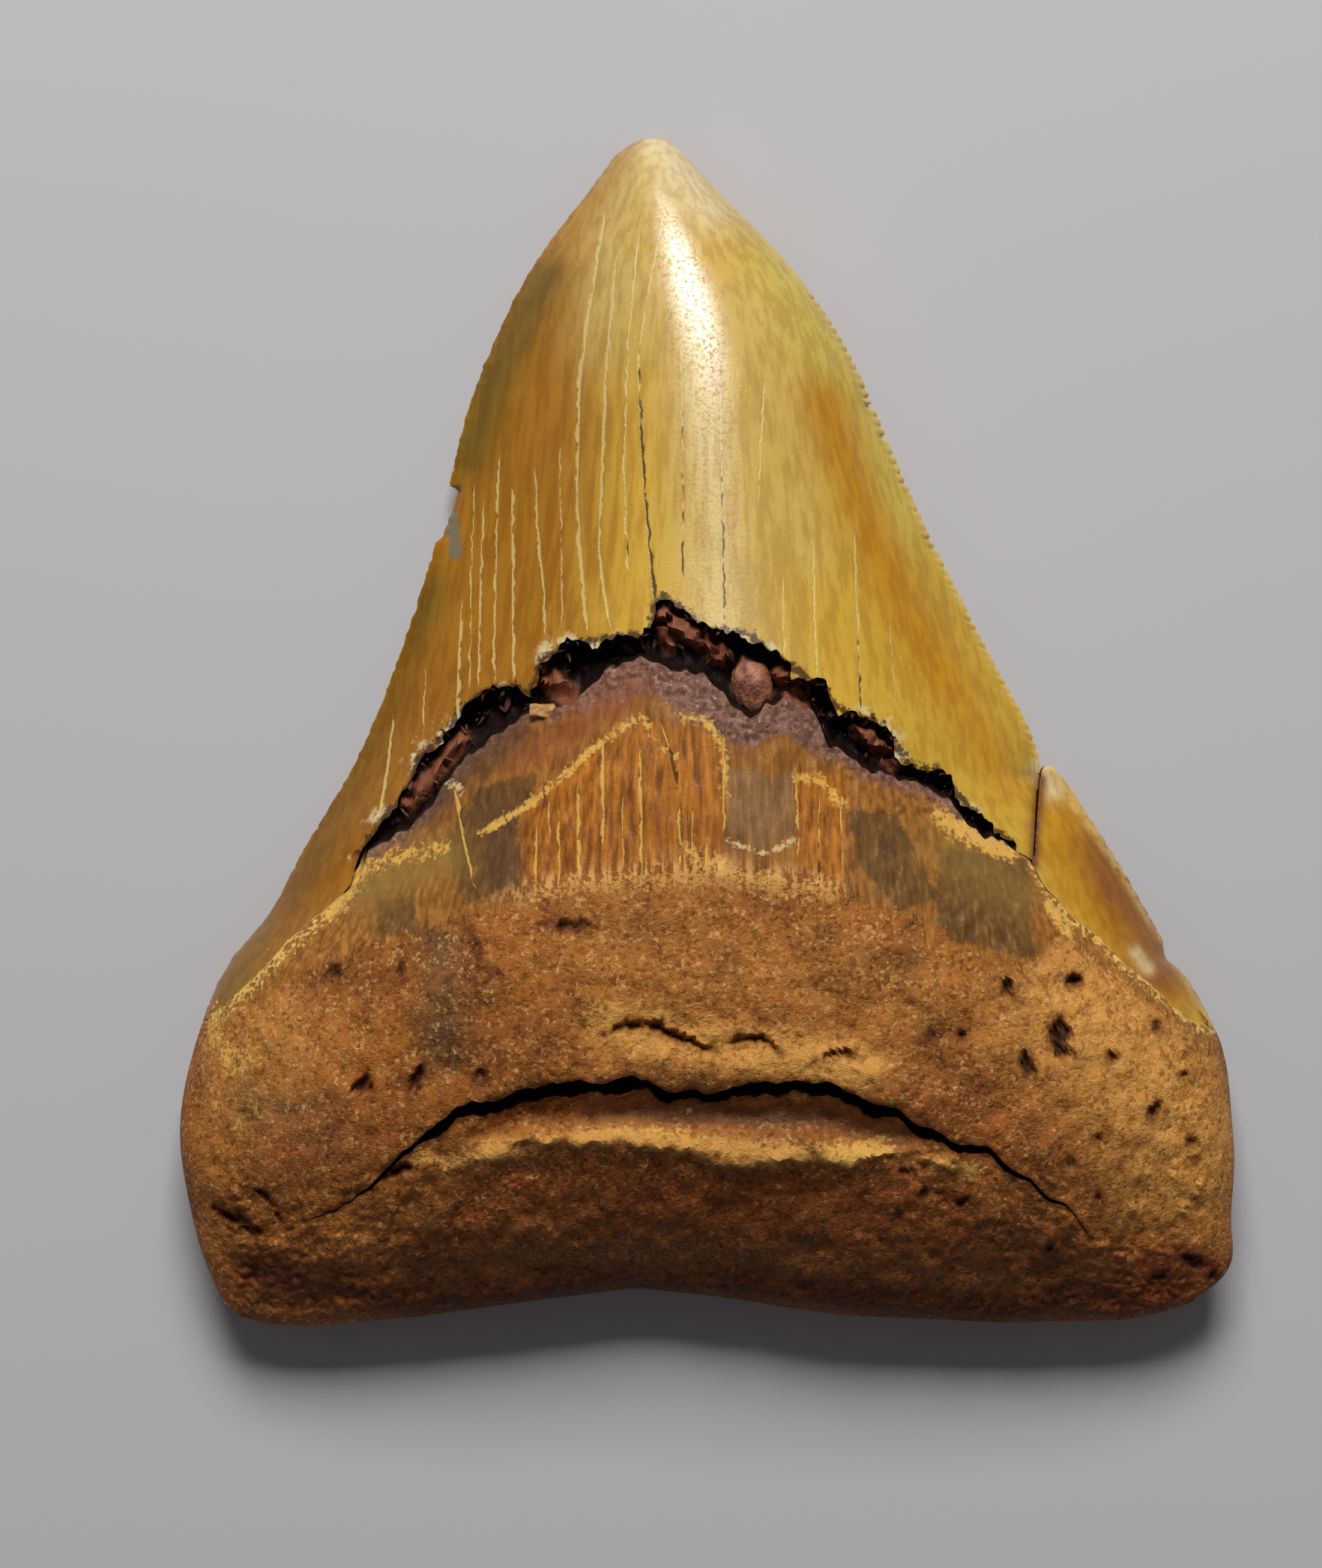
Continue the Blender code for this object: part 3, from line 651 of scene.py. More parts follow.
ROOT_FISSURES = (
    Fissure(((-7.1, -20.6), (-5.6, -19.9), (-3.6, -19.9), (-2.0, -20.8), (0.5, -21.7)), 0.28, 1.2),
    Fissure(((1.0, -21.4), (2.2, -20.8), (3.5, -20.7), (4.9, -21.8)), 0.2, 0.9),
    Fissure(((6.8, -22.4), (8.5, -21.7), (10.2, -22.0)), 0.16, 0.7),
    Fissure(((-34.0, -32.9), (-32.6, -33.7), (-30.8, -34.8)), 0.35, 1.0),
    Fissure(((-31.3, -30.9), (-30.4, -31.8), (-29.3, -33.5)), 0.22, 0.7),
    Fissure(((-22.2, -30.6), (-21.0, -29.9), (-19.9, -29.6)), 0.3, 1.0),
)
ROOT_PITS = (
    Pit(-25.5, -16.6, 0.45, 0.5, 0, 0.9), Pit(-23.3, -24.1, 0.6, 0.5, 20, 1.0),
    Pit(-19.6, -23.5, 0.35, 0.9, -25, 0.9), Pit(-15.3, -23.3, 0.4, 0.35, 0, 0.6),
    Pit(-15.7, -14.5, 0.2, 1.0, 25, 0.4), Pit(-20.8, -16.3, 0.2, 0.6, 0, 0.4),
    Pit(20.2, -17.6, 0.45, 0.5, 0, 0.9), Pit(24.9, -17.1, 0.55, 0.5, 0, 1.2),
    Pit(23.8, -20.9, 0.7, 1.3, 10, 0.9), Pit(21.5, -22.6, 0.45, 0.75, 15, 1.0),
    Pit(17.1, -20.6, 0.3, 0.3, 0, 0.5), Pit(14.9, -20.7, 0.4, 0.25, 30, 0.4),
    Pit(27.4, -22.2, 0.35, 0.3, 0, 0.6), Pit(30.4, -26.0, 0.55, 0.45, 0, 0.9),
    Pit(33.1, -28.2, 0.35, 0.4, 0, 0.6), Pit(26.3, -27.7, 0.35, 0.25, 0, 0.5),
    Pit(24.4, -29.4, 0.4, 0.25, -20, 0.5), Pit(26.6, -32.0, 0.35, 0.3, 0, 0.6),
    Pit(30.7, -20.3, 0.3, 0.35, 0, 0.6), Pit(32.7, -23.6, 0.3, 0.25, 0, 0.5),
    Pit(13.3, -29.9, 0.35, 0.25, 0, 0.6), Pit(14.6, -31.4, 0.3, 0.25, 0, 0.5),
    Pit(17.3, -32.1, 0.4, 0.3, 20, 0.6), Pit(12.9, -33.1, 0.3, 0.25, 0, 0.4),
    Pit(23.4, -35.6, 0.3, 0.3, 0, 0.5), Pit(-9.3, -13.2, 1.4, 0.4, 0, 0.45),
    Pit(33.3, -36.7, 1.3, 0.5, -15, 0.4), Pit(31.2, -37.6, 0.7, 0.35, 20, 0.4),
    Pit(34.9, -37.8, 0.5, 0.4, 0, 0.35), Pit(-31.6, -33.9, 0.9, 0.3, -40, 0.6),
)

# Stains on the enamel, with some painted sheen among them.
ENAMEL_STAINS_AND_SHEEN: dict[str, tuple[Stain, ...]] = {
    "cream": (
        Stain(((-2.6, 41.0), (-1.5, 38.5), (0.2, 36.0)), 2.0, 1.0),
        Stain(((23.4, -2.9), (24.2, -4.0)), 0.9, 1.0),
        Stain(((29.6, -15.4), (30.4, -16.4)), 0.5, 0.8),
    ),
    # Paler enamel over the middle of the crown, partly painted sheen around the highlight.
    "centre": (
        Stain(((-4.5, 38.0), (-6.5, 33.5), (-6.5, 27.0)), 2.8, 0.9),
        Stain(((3.0, 30.0), (5.5, 22.0), (6.0, 13.0)), 3.6, 0.9),
    ),
    "green": (
        Stain(((4.6, 33.5), (8.6, 26.0), (11.4, 20.0), (13.6, 14.5)), 2.2, 1.0),
    ),
    "amber": (
        Stain(((8.2, 22.5), (10.4, 16.0), (13.5, 8.3), (17.0, 2.5)), 1.9, 1.0),
        Stain(((17.0, 2.5), (21.0, -4.2)), 1.6, 0.75),
        Stain(((25.2, -6.0), (28.0, -11.0), (31.2, -17.0)), 3.4, 1.0),
    ),
    "olive": (
        Stain(((-11.5, 31.5), (-14.6, 25.5), (-16.8, 19.5)), 1.9, 0.85),
        Stain(((-19.5, 10.0), (-22.5, 1.5), (-27.5, -9.0), (-33.5, -18.2)), 1.6, 0.7),
    ),
    "brown": (
        Stain(((-12.0, 28.5), (-14.5, 20.0), (-17.0, 9.5), (-20.5, 0.0)), 4.5, 0.8),
    ),
    "deep": (
        Stain(((27.6, -9.0), (31.5, -16.5)), 2.5, 0.95),
        Stain(((-19.5, 3.0), (-24.0, -6.0), (-29.0, -13.5)), 3.0, 0.45),
    ),
    "chip": (
        Stain(((-17.8, 15.0), (-17.6, 12.4)), 0.55, 1.0),
    ),
    "seam": (
        Stain(((23.4, -3.4), (22.7, -6.5), (22.4, -9.2)), 0.45, 1.0),
    ),
}
ENAMEL_HAIRLINES = (
    Hairline(((-22.0, 1.4), (-21.9, 0.8), (-22.3, -3.0), (-22.7, -6.5)), 1.1),
    Hairline(((-19.6, 5.0), (-19.7, -1.0)), 0.5),
    Hairline(((-17.0, 9.4), (-17.2, 5.0), (-17.2, 0.4)), 1.1),
    Hairline(((-16.2, 17.6), (-16.4, 11.0), (-16.4, 2.6)), 0.6),
    Hairline(((-15.5, 16.4), (-15.7, 11.2), (-15.8, 2.8)), 0.9),
    Hairline(((-14.4, 19.6), (-14.6, 14.3), (-14.7, 6.0), (-14.6, 3.0)), 0.9),
    Hairline(((-13.5, 17.4), (-13.4, 10.1), (-13.3, 3.2)), 1.1),
    Hairline(((-11.9, 18.4), (-11.7, 14.2), (-11.2, 9.1), (-11.1, 6.2)), 0.9),
    Hairline(((-10.2, 20.0), (-10.0, 12.0), (-10.0, 6.5)), 0.5),
    Hairline(((-7.0, 36.2), (-8.0, 29.8), (-8.8, 24.0), (-9.0, 16.0), (-8.6, 10.9), (-8.2, 6.4)), 1.4),
    Hairline(((-6.2, 33.0), (-7.0, 24.0), (-7.4, 12.5), (-7.1, 9.3), (-6.4, 6.4)), 1.1),
    Hairline(((-4.6, 34.5), (-5.4, 27.0), (-5.7, 18.0), (-5.4, 10.0)), 0.8, 0.3),
    Hairline(((-2.9, 36.0), (-4.2, 29.0), (-4.7, 25.5), (-4.6, 21.2), (-4.1, 13.9), (-3.6, 8.4)), 1.0, 0.7),
    Hairline(((-1.7, 31.0), (-1.8, 24.0), (-1.7, 18.0), (-1.7, 9.6)), 0.7, 0.4),
    Hairline(((0.7, 25.5), (0.9, 18.5), (1.0, 12.9), (1.1, 6.8)), 0.7, 0.6),
    Hairline(((3.9, 24.0), (3.5, 19.0), (3.4, 15.0)), 0.8, 0.2),
    Hairline(((5.0, 11.0), (5.1, 4.4)), 0.5),
    Hairline(((7.1, 13.4), (7.2, 8.0), (7.3, 3.4)), 0.8),
    Hairline(((10.0, 14.0), (10.2, 7.0), (10.4, 1.0)), 0.9, 0.45),
    Hairline(((12.5, 8.0), (12.8, 1.0)), 0.4),
)
WORN_PLACES = (
    Stain(((-8.0, -19.4), (-3.0, -20.6), (3.0, -21.6), (10.5, -22.6)), 1.5, 1.1),
    Stain(((-20.0, 0.0), (-12.0, 0.5), (-4.0, 3.8), (2.0, 0.6), (9.0, -2.6), (16.0, -5.6)), 2.0, 0.9),
    Stain(((31.0, -36.5), (35.0, -38.5)), 2.2, 2.0),
    Stain(((-15.0, -27.4), (-6.3, -26.4), (0.0, -26.8), (8.3, -27.4), (16.0, -28.6)), 1.6, 1.1),
    Stain(((22.5, -19.5), (24.5, -22.0)), 1.0, 1.2),
)
TISSUE_RIDGES = (
    Stain(((-2.8, 7.9), (-1.2, 6.6), (0.8, 5.0)), 0.75, 2.3),
    Stain(((-3.4, 7.4), (-2.6, 5.4)), 0.5, 1.6),
    Stain(((-11.9, 4.4), (-10.8, 3.4), (-9.6, 2.4)), 0.8, 2.2),
    Stain(((4.8, 3.8), (6.2, 2.0)), 0.7, 1.8),
    Stain(((10.4, 0.1), (12.8, -2.2)), 0.8, 1.8),
    Stain(((-20.6, -5.0), (-18.4, -2.4), (-17.0, -0.6)), 0.7, 1.5),
)
PANELS: dict[str, tuple[Points, ...]] = {
    "orange_panel": (
        (
            (-12.7, -7.4), (-12.4, -5.7), (-9.6, -2.9), (-6.8, -0.6), (-3.8, 0.7), (1.0, -0.6),
            (1.1, -8.9), (-5.8, -10.4), (-12.4, -10.4),
        ),
        ((5.9, -2.9), (9.1, -2.9), (9.0, -11.2), (5.9, -10.9)),
    ),
    "hex_panel": (((1.2, -2.6), (5.7, -3.2), (5.7, -6.9), (3.5, -7.9), (1.2, -6.9)),),
    "grey_panel": (
        ((9.2, -5.4), (12.9, -5.7), (15.4, -11.5), (12.8, -12.2), (10.3, -9.4)),
        ((-18.1, -7.5), (-15.6, -3.9), (-11.4, -2.9), (-12.9, -6.4), (-12.9, -10.4), (-16.5, -12.0)),
        ((15.5, -7.9), (22.0, -8.9), (22.1, -15.6), (15.4, -14.0)),
        ((-22.8, -11.6), (-20.0, -11.4), (-19.5, -14.0), (-22.5, -14.0)),
    ),
}
# Stains on the root, with painted light and painted shade among them.
ROOT_STAINS_AND_PAINTED_LIGHT: dict[str, tuple[Stain, ...]] = {
    "tissue": TISSUE_RIDGES,
    "yellow": (
        Stain(((-24.3, -9.6), (-21.0, -8.6), (-18.1, -7.9)), 0.8, 0.75),
        Stain(((-26.0, -12.6), (-23.5, -9.2)), 0.6, 1.0),
        Stain(((15.8, -5.9), (18.0, -7.2), (20.6, -8.4)), 0.85, 1.1),
        Stain(((23.3, -12.0), (24.6, -13.9)), 0.6, 1.0),
        Stain(((-35.0, -20.5), (-32.0, -22.8)), 1.5, 0.75),
        Stain(((-15.4, -7.0), (-12.6, -5.4), (-10.3, -3.6), (-6.8, -0.5), (-4.5, 0.9)), 0.4, 1.0),
        Stain(((-4.4, 0.9), (-3.6, -0.8), (-2.2, -1.8)), 0.35, 0.8),
        Stain(((-2.0, 0.9), (0.0, 0.4), (1.0, -1.4), (1.1, -4.5)), 0.5, 0.8),
        Stain(((5.9, -3.2), (7.4, -3.4), (8.9, -5.0)), 0.5, 0.9),
        Stain(((-1.5, -8.0), (-0.5, -8.9), (1.0, -9.2)), 0.9, 0.7),
        # The next three are painted highlights on the ledge, where it catches light.
        Stain(((8.2, -28.8), (11.8, -28.3)), 1.0, 1.1),
        Stain(((1.2, -29.3), (3.4, -29.4)), 0.5, 0.6),
        Stain(((-6.3, -27.0), (-1.5, -27.2)), 0.6, 0.6),
    ),
    "gold": (
        # The second and third are painted highlights along the ledge, where it catches light.
        Stain(((-6.5, -19.4), (-2.0, -20.4), (3.5, -21.5), (10.5, -22.8)), 1.8, 0.9),
        Stain(((-19.9, -28.9), (-16.0, -29.3)), 0.9, 0.9),
        Stain(((-15.0, -28.7), (-6.3, -27.4), (-0.8, -28.0), (8.3, -28.9), (18.0, -30.0)), 0.8, 1.1),
        Stain(((-11.9, -11.0), (-6.0, -10.2), (0.0, -9.8), (7.8, -10.8)), 0.9, 0.8),
    ),
    "grey": (
        Stain(((-18.3, -14.5), (-17.9, -18.5), (-17.8, -21.5)), 1.6, 0.7),
        Stain(((-30.5, -25.8), (-26.0, -27.8)), 1.7, 0.6),
    ),
    "pale": (
        Stain(((-29.4, -25.8), (-27.2, -25.6)), 0.3, 0.7),
        Stain(((1.2, -7.4), (3.6, -8.4), (5.7, -7.5)), 0.3, 0.8),
        Stain(((-17.9, -3.3), (-16.9, -4.2)), 0.45, 0.9),
        Stain(((-1.3, -25.8), (-1.2, -25.8)), 0.25, 1.0),
    ),
    "purple": (
        Stain(((-8.3, -25.4), (0.0, -25.9), (8.0, -26.0), (12.8, -27.2)), 0.9, 0.8),
    ),
    "tuft": (
        Stain(((-12.0, -11.0), (-6.0, -10.2), (0.0, -9.6), (7.8, -10.6)), 2.0, 1.0),
    ),
    "rind": (
        Stain(((-7.0, 2.8), (-2.5, 2.6), (1.5, 0.0), (4.0, 0.6), (6.5, 0.2)), 1.8, 1.0),
    ),
    # Painted light: brighter where light falls on the right shoulder, the left side, the brow above the
    # long crack, the ledge and the root's top.
    "light": (
        Stain(((25.0, -19.0), (31.0, -25.0), (33.0, -29.0)), 5.6, 1.0),
        Stain(((-6.5, -19.8), (-2.0, -20.8), (4.0, -21.6), (10.5, -22.6)), 1.9, 1.0),
        Stain(((-15.0, -28.6), (-6.3, -27.6), (-0.8, -28.4), (8.3, -29.2), (16.0, -29.6)), 1.0, 0.9),
        Stain(((-30.0, -20.0), (-31.0, -25.0)), 4.0, 0.45),
        Stain(((-6.0, -14.0), (6.0, -16.0), (14.0, -18.0)), 4.0, 0.22),
    ),
    "shade": (
        Stain(((-31.0, -37.5), (-20.0, -39.5), (0.0, -38.0), (20.0, -40.0), (32.0, -38.5)), 2.4, 1.0),
        Stain(((31.5, -36.4), (34.8, -37.0)), 1.1, 0.8),
        Stain(((-19.0, -36.5), (-8.0, -33.5), (8.0, -34.0), (24.0, -37.0)), 4.2, 0.7),
    ),
    "red": (
        Stain(((30.5, -37.0), (34.5, -37.5)), 2.2, 0.9),
        Stain(((-29.0, -28.5), (-22.0, -27.0)), 2.6, 0.5),
        Stain(((14.0, -25.5), (22.0, -27.5)), 2.2, 0.5),
    ),
    "olive": (
        Stain(((-23.5, -11.0), (-21.0, -9.8), (-18.0, -8.6)), 1.7, 0.8),
        Stain(((16.0, -8.0), (21.0, -11.0)), 2.0, 0.5),
    ),
    "rust": (
        Stain(((-13.0, -2.0), (-8.5, 0.6), (-5.0, 2.6)), 1.3, 0.7),
    ),
    "dusk": (
        Stain(((-19.0, -5.4), (-15.9, -2.6), (-13.0, -0.4)), 1.2, 0.75),
        Stain(((-14.4, -5.5), (-13.6, -9.5)), 1.5, 0.55),
    ),
}
ROOT_HAIRLINES = (
    Hairline(((-17.4, -3.4), (-16.6, -7.4), (-15.7, -11.0)), 1.0),
    Hairline(((-11.6, -5.9), (-11.6, -10.9)), 0.9),
    Hairline(((-10.8, -4.4), (-10.7, -7.4)), 0.8),
    Hairline(((-10.1, -5.0), (-10.0, -10.9)), 0.9),
    Hairline(((-8.8, -3.4), (-8.7, -10.6)), 1.2),
    Hairline(((-7.1, -0.3), (-7.1, -8.4)), 1.2),
    Hairline(((-5.8, -4.0), (-5.7, -10.2)), 0.6),
    Hairline(((-4.6, -1.0), (-4.5, -10.2)), 1.2),
    Hairline(((-3.4, 0.9), (-2.6, -1.2), (-2.3, -3.0), (-1.8, -4.6)), 1.0, 1.0),
    Hairline(((-2.0, -4.6), (-1.9, -10.0)), 0.9),
    Hairline(((-1.1, -4.6), (-1.1, -10.0)), 0.7),
    Hairline(((-0.2, -6.4), (-0.1, -10.0)), 1.0),
    Hairline(((1.0, 0.4), (1.0, -7.4)), 1.0),
    Hairline(((5.9, -3.2), (6.0, -8.8)), 1.0),
    Hairline(((7.4, -4.0), (7.4, -10.6)), 0.6, 0.4),
    Hairline(((8.9, -4.4), (9.0, -10.4)), 0.6),
)


def mark_stains_and_light(sheet: Sheet, stains: dict[str, tuple[Stain, ...]], share: float) -> None:
    """Marks the strength of each named stain, and of each painted light and shade, on a sheet."""
    for name in sorted(stains):
        total = np.zeros(sheet.places.shape[:2])
        for stain in stains[name]:
            total = np.maximum(total, stain.share(sheet.x, sheet.y))
        sheet.mark(name, total * share)


def mark_hairlines(sheet: Sheet, lines: Sequence[Hairline], share: float) -> None:
    """Marks the nearest hairline crack's side distance, strength and darkness on a sheet.

    The distance changes its sign across a crack, so it stays true between two corners of the
    mesh however fine the crack is. Neighbouring cracks turn their signs opposite ways, which
    keeps it even half way between them.

    Args:
        sheet: The sheet to mark.
        lines: The cracks, from left to right.
        share: 1 where they show, 0 on a face that has none.
    """
    x, y = sheet.x, sheet.y
    best = np.full(x.shape, 9.0)
    side = np.full(x.shape, 9.0)
    strength = np.zeros(x.shape)
    dark = np.zeros(x.shape)
    for number, line in enumerate(lines):
        points = sorted((b, a) for a, b in line.path)
        low, high = points[0][0], points[-1][0]
        offset = x - straight(points, y)
        ends = smoothstep(low - 0.3, low + 1.5, y) * smoothstep(high + 0.3, high - 1.5, y)
        distance = np.abs(offset)
        closer = distance < best
        best = np.where(closer, distance, best)
        side = np.where(closer, offset * (1 if number % 2 else -1), side)
        strength = np.where(closer, ends * line.strength, strength)
        dark = np.where(closer, line.dark * (1.2 - smoothstep(low, high, y)), dark)
    sheet.mark("hairline", side)
    sheet.mark("hairline_strength", strength * share)
    sheet.mark("hairline_dark", dark)


@dataclass
class CrownEnamel:
    """The enamel blade, from the tip down to its broken margin, and the left shoulder."""

    form: ToothForm
    coarse: int = 45
    upper_split: int = 4
    lower_split: int = 8
    turn_y: float = 14.0
    corner_y: float = -9.0
    tip_step: float = 0.3
    tip_z: float = 2.3
    serration_pitch: float = 0.72
    serration_depth: float = 0.22
    serration_reach: float = 0.9
    serrated: tuple[float, float] = (32.0, -1.5)
    wear_reach: float = 1.2
    crack_gap: float = 0.05
    steep_share: float = 0.2
    smoothing: int = 12
    relaxing: int = 500
    wall_depths: tuple[float, ...] = (0.25, 0.7, 1.4, 2.3, 3.3, 4.4)
    wall_undercuts: tuple[float, ...] = (0.05, 0.25, 0.5, 0.75, 0.9, 1.0)
    wall_share: float = 0.85
    right_y: Array = field(init=False)
    valley: Array = field(init=False)
    inward: Array = field(init=False)
    turn: int = field(init=False)

    def right_limit(self, y: Array) -> Array:
        """X of the blade's right side: its cutting edge, then the shoulder crack below it."""
        edge = self.form.edges(y)[1] + self.form.jog(np.ones(np.shape(y)), y, Part.CROWN)
        crack = straight(SHOULDER_CRACK, y) - self.crack_gap
        blend = smoothstep(SHOULDER_TOP_Y, SHOULDER_TOP_Y - 1.0, y)
        return edge + (np.minimum(crack, edge) - edge) * blend

    def limits(self, y: Array) -> tuple[Array, Array]:
        """X of the blade's left and right sides."""
        return self.form.edges(y)[0], self.right_limit(y)

    def blade_x(self, column: Array, y: Array) -> Array:
        """X of each column of the blade."""
        left, right = self.limits(y)
        return left + (right - left) * (column + 1) / 2

    def blade_column(self, x: Array, y: Array) -> Array:
        """The column of each place of the blade."""
        left, right = self.limits(y)
        return 2 * (x - left) / (right - left) - 1

    def row_heights(self) -> tuple[Array, Array]:
        """Y of each row's right end, and how deep between two serrations it lies."""
        fine = np.linspace(TIP_Y, self.corner_y, 4000)
        x = self.right_limit(fine)
        arc = np.concatenate([[0], np.cumsum(np.hypot(np.diff(x), np.diff(fine)))])
        first, last = np.interp([-self.serrated[0], -self.serrated[1]], -fine, arc)
        quarter = self.serration_pitch / 4
        plain = np.linspace(0, first, round(first / self.tip_step) + 1)[:-1]
        toothed = np.arange(first, arc[-1] - quarter / 2, quarter)
        along = np.concatenate([plain, toothed, arc[-1:]])
        phase = (along - first) / self.serration_pitch
        valley = np.clip(np.cos(phase * 2 * math.pi) * 0.65 + 0.35, 0, 1)
        fade = smoothstep(first - 0.1, first + 3, along) * (1 - smoothstep(last, last + 1.5, along))
        worn = 0.65 + ripple(along, (1.0, 1.6, 4.0))
        return np.interp(along, arc, fine), valley * fade * worn

    def margin(self, count: int) -> tuple[Array, Array, Array]:
        """The ragged lower border, from the left shoulder's corner to the right one.

        Args:
            count: How many places to spread along it.

        Returns:
            The border's X and Y, and the (x, y) direction that points from it into the enamel.
        """
        shoulder = [(x - 0.25, y - 0.45) for x, y in ENAMEL_BOUNDARY[:4]]
        corner = (float(straight(SHOULDER_CRACK, self.corner_y)) - self.crack_gap, self.corner_y)
        first = (LEFT_CORNER[0] - 0.2, LEFT_CORNER[1] - 0.4)
        line = np.array([first, *shoulder, (-24.6, -10.6), *CROWN_MARGIN, corner])
        lengths = np.hypot(*np.diff(line, axis=0).T)
        sideways = np.maximum(np.diff(self.blade_column(*line.T)), 0) * BASE_HALF_WIDTH
        gains = np.cumsum(sideways + self.steep_share * lengths)
        fractions = np.concatenate([[0], gains / gains[-1]])
        start = fractions[len(shoulder) + 1]
        wanted = np.linspace(0, 1, count)
        x, y = (np.interp(wanted, fractions, side) for side in line.T)
        arc = np.interp(wanted, fractions, np.concatenate([[0], np.cumsum(lengths)]))
        free = smoothstep(start, start + 0.03, wanted) * (1 - smoothstep(0.975, 1.0, wanted))
        inward = facing(x, y, self.smoothing)
        ragged = ripple(arc, (0.8, 1.9, 1.0), (0.5, 0.8, 2.0), (0.25, 0.36, 3.0))
        side = ripple(arc, (0.25, 0.9, 5.0))
        x = x + free * (inward[0] * ragged + inward[1] * side)
        y = y + free * (inward[1] * ragged - inward[0] * side)
        return x, y, inward

    def lay_face(self) -> tuple[Array, Array]:
        """The lingual face in two grids, the upper one with half as many columns."""
        self.right_y, self.valley = self.row_heights()
        self.turn = int(np.argmin(np.abs(self.right_y - self.turn_y)))
        above, below = self.right_y[: self.turn + 1], self.right_y[self.turn :]
        upper_columns = np.linspace(-1, 1, self.coarse * self.upper_split + 1)
        lower_columns = np.linspace(-1, 1, self.coarse * self.lower_split + 1)
        column, y = np.meshgrid(upper_columns, above)
        upper = self.lay(self.blade_x(column, y), y, self.valley[: self.turn + 1])
        margin_x, margin_y, self.inward = self.margin(len(lower_columns))
        margin_column = np.clip(self.blade_column(margin_x, margin_y), -1, 1)
        margin_column[[0, -1]] = -1, 1
        t = ((below[0] - below) / (below[0] - self.corner_y))[:, None]
        column = (1 - t) * lower_columns + t * margin_column
        y = (1 - t) * below[0] + t * margin_y
        x, y = relax(self.blade_x(column, y), y, self.relaxing)
        lower = self.lay(x, y, self.valley[self.turn :])
        lower[0] = snap(upper[-1], len(lower_columns))
        return upper, lower

    def lay(self, x: Array, y: Array, valley: Array) -> Array:
        """Places of the lingual face above a grid in plan, with the nibbled edges."""
        return stack(self.nibble(x, y, valley), y, self.form.face(x, y, Part.CROWN))

    def nibble(self, x: Array, y: Array, valley: Array) -> Array:
        """Draws the serrations and the edge's nicks into the outline."""
        left, right = self.limits(y)
        near_right = smoothstep(self.serration_reach, 0.0, right - x)
        near_left = smoothstep(self.wear_reach, 0.0, x - left)
        cut = self.serration_depth * valley[:, None]
        nick = sum(depth * hump(y - nick_y, reach) for depth, nick_y, reach in RIGHT_NICKS)
        wear = ripple(y, (0.12, 0.9, 7.0), (0.1, 0.35, 8.0))
        chip = 0.65 * smoothstep(17.3, 16.9, y) * smoothstep(15.0, 15.5, y)
        chip += 0.45 * smoothstep(13.3, 13.7, y) * smoothstep(15.5, 15.0, y)
        return x - near_right * (cut + nick) + near_left * (chip + wear)

    def labial_face(self, left_end: Array) -> Array:
        """The labial face, whose lower border is the labial enamel line.

        Args:
            left_end: Y of the left end of each row below the turn.

        Returns:
            The face's places.
        """
        columns = np.linspace(-1, 1, self.coarse + 1)
        column, y = np.meshgrid(columns, self.right_y[: self.turn + 1])
        below, start = self.right_y[self.turn + 1 :], self.right_y[self.turn]
        low_x, low_y = LABIAL_LINE[-2]
        past = (below - SHOULDER_TOP_Y) * (low_y - SHOULDER_TOP_Y) / (self.corner_y - SHOULDER_TOP_Y)
        right_end = np.where(below > SHOULDER_TOP_Y, below, SHOULDER_TOP_Y + past)
        u = (columns + 1) / 2
        line_y = straight(LABIAL_LINE, LEFT_CORNER[0] + (low_x - LEFT_CORNER[0]) * u)
        line_y[0], line_y[-1] = left_end[-1], low_y
        left_share = (start - left_end) / (start - left_end[-1])
        right_share = (start - right_end) / (start - low_y)
        lower_y = start + (line_y - start) * spread_share(left_share, right_share, u)
        column = np.concatenate([column, np.broadcast_to(columns, lower_y.shape)])
        y = np.concatenate([y, lower_y])
        x = self.blade_x(column, y)
        z = self.form.underside(x, y, Part.CROWN)
        return stack(self.nibble(x, y, self.valley), y, z)

    def wall_rows(self, lip: Array, landing: Array) -> Array:
        """Rows from the broken margin down the crevice's wall, then in to the labial line."""
        x, y, z = lip.T
        thickness = z - self.form.underside(x, y, Part.CROWN)
        scale = smoothstep(0.0, 3.0, np.hypot(x - x[0], y - y[0]))
        arc = np.cumsum(np.hypot(np.gradient(x), np.gradient(y)))
        rows = []
        for depth, undercut in zip(self.wall_depths, self.wall_undercuts):
            drop = np.minimum(depth, thickness * self.wall_share * depth / self.wall_depths[-1])
            torn = undercut + 0.3 * rough(arc, arc * 0 + depth * 1.3, 0.7, 9.0) * (depth > 0.3)
            across, along = self.inward * (scale * torn)
            rows.append(stack(x + across, y + along, z - drop * scale))
        return np.array([*rows, snap(landing, len(x))])

    def build(self) -> bpy.types.Object:
        """Makes the closed blade."""
        upper, lower = self.lay_face()
        labial = self.labial_face(lower[1:, 0, 1])
        walls = self.wall_rows(lower[-1], labial[-1])
        tip = end_row(labial[0], 0.1, self.tip_z)
        first = int(np.argmax(self.right_y < SHOULDER_TOP_Y)) - 1
        top = np.concatenate([upper[:-1, -1], lower[:, -1]])[first:]
        side = bridge(top[:, None], labial[first:, -1:], len(self.wall_depths) + 2)
        side[-1] = np.concatenate([top[-1:], walls[:, -1]])
        grids = (
            [snap(tip, upper.shape[1])[None], upper],
            [lower, walls],
            [tip[None], labial],
            [side],
        )
        sheets = [Sheet(np.concatenate(grid)) for grid in grids]
        self.mark(sheets, len(lower))
        return weld("crown_enamel", [spread_sheet(sheet) for sheet in sheets], 35)

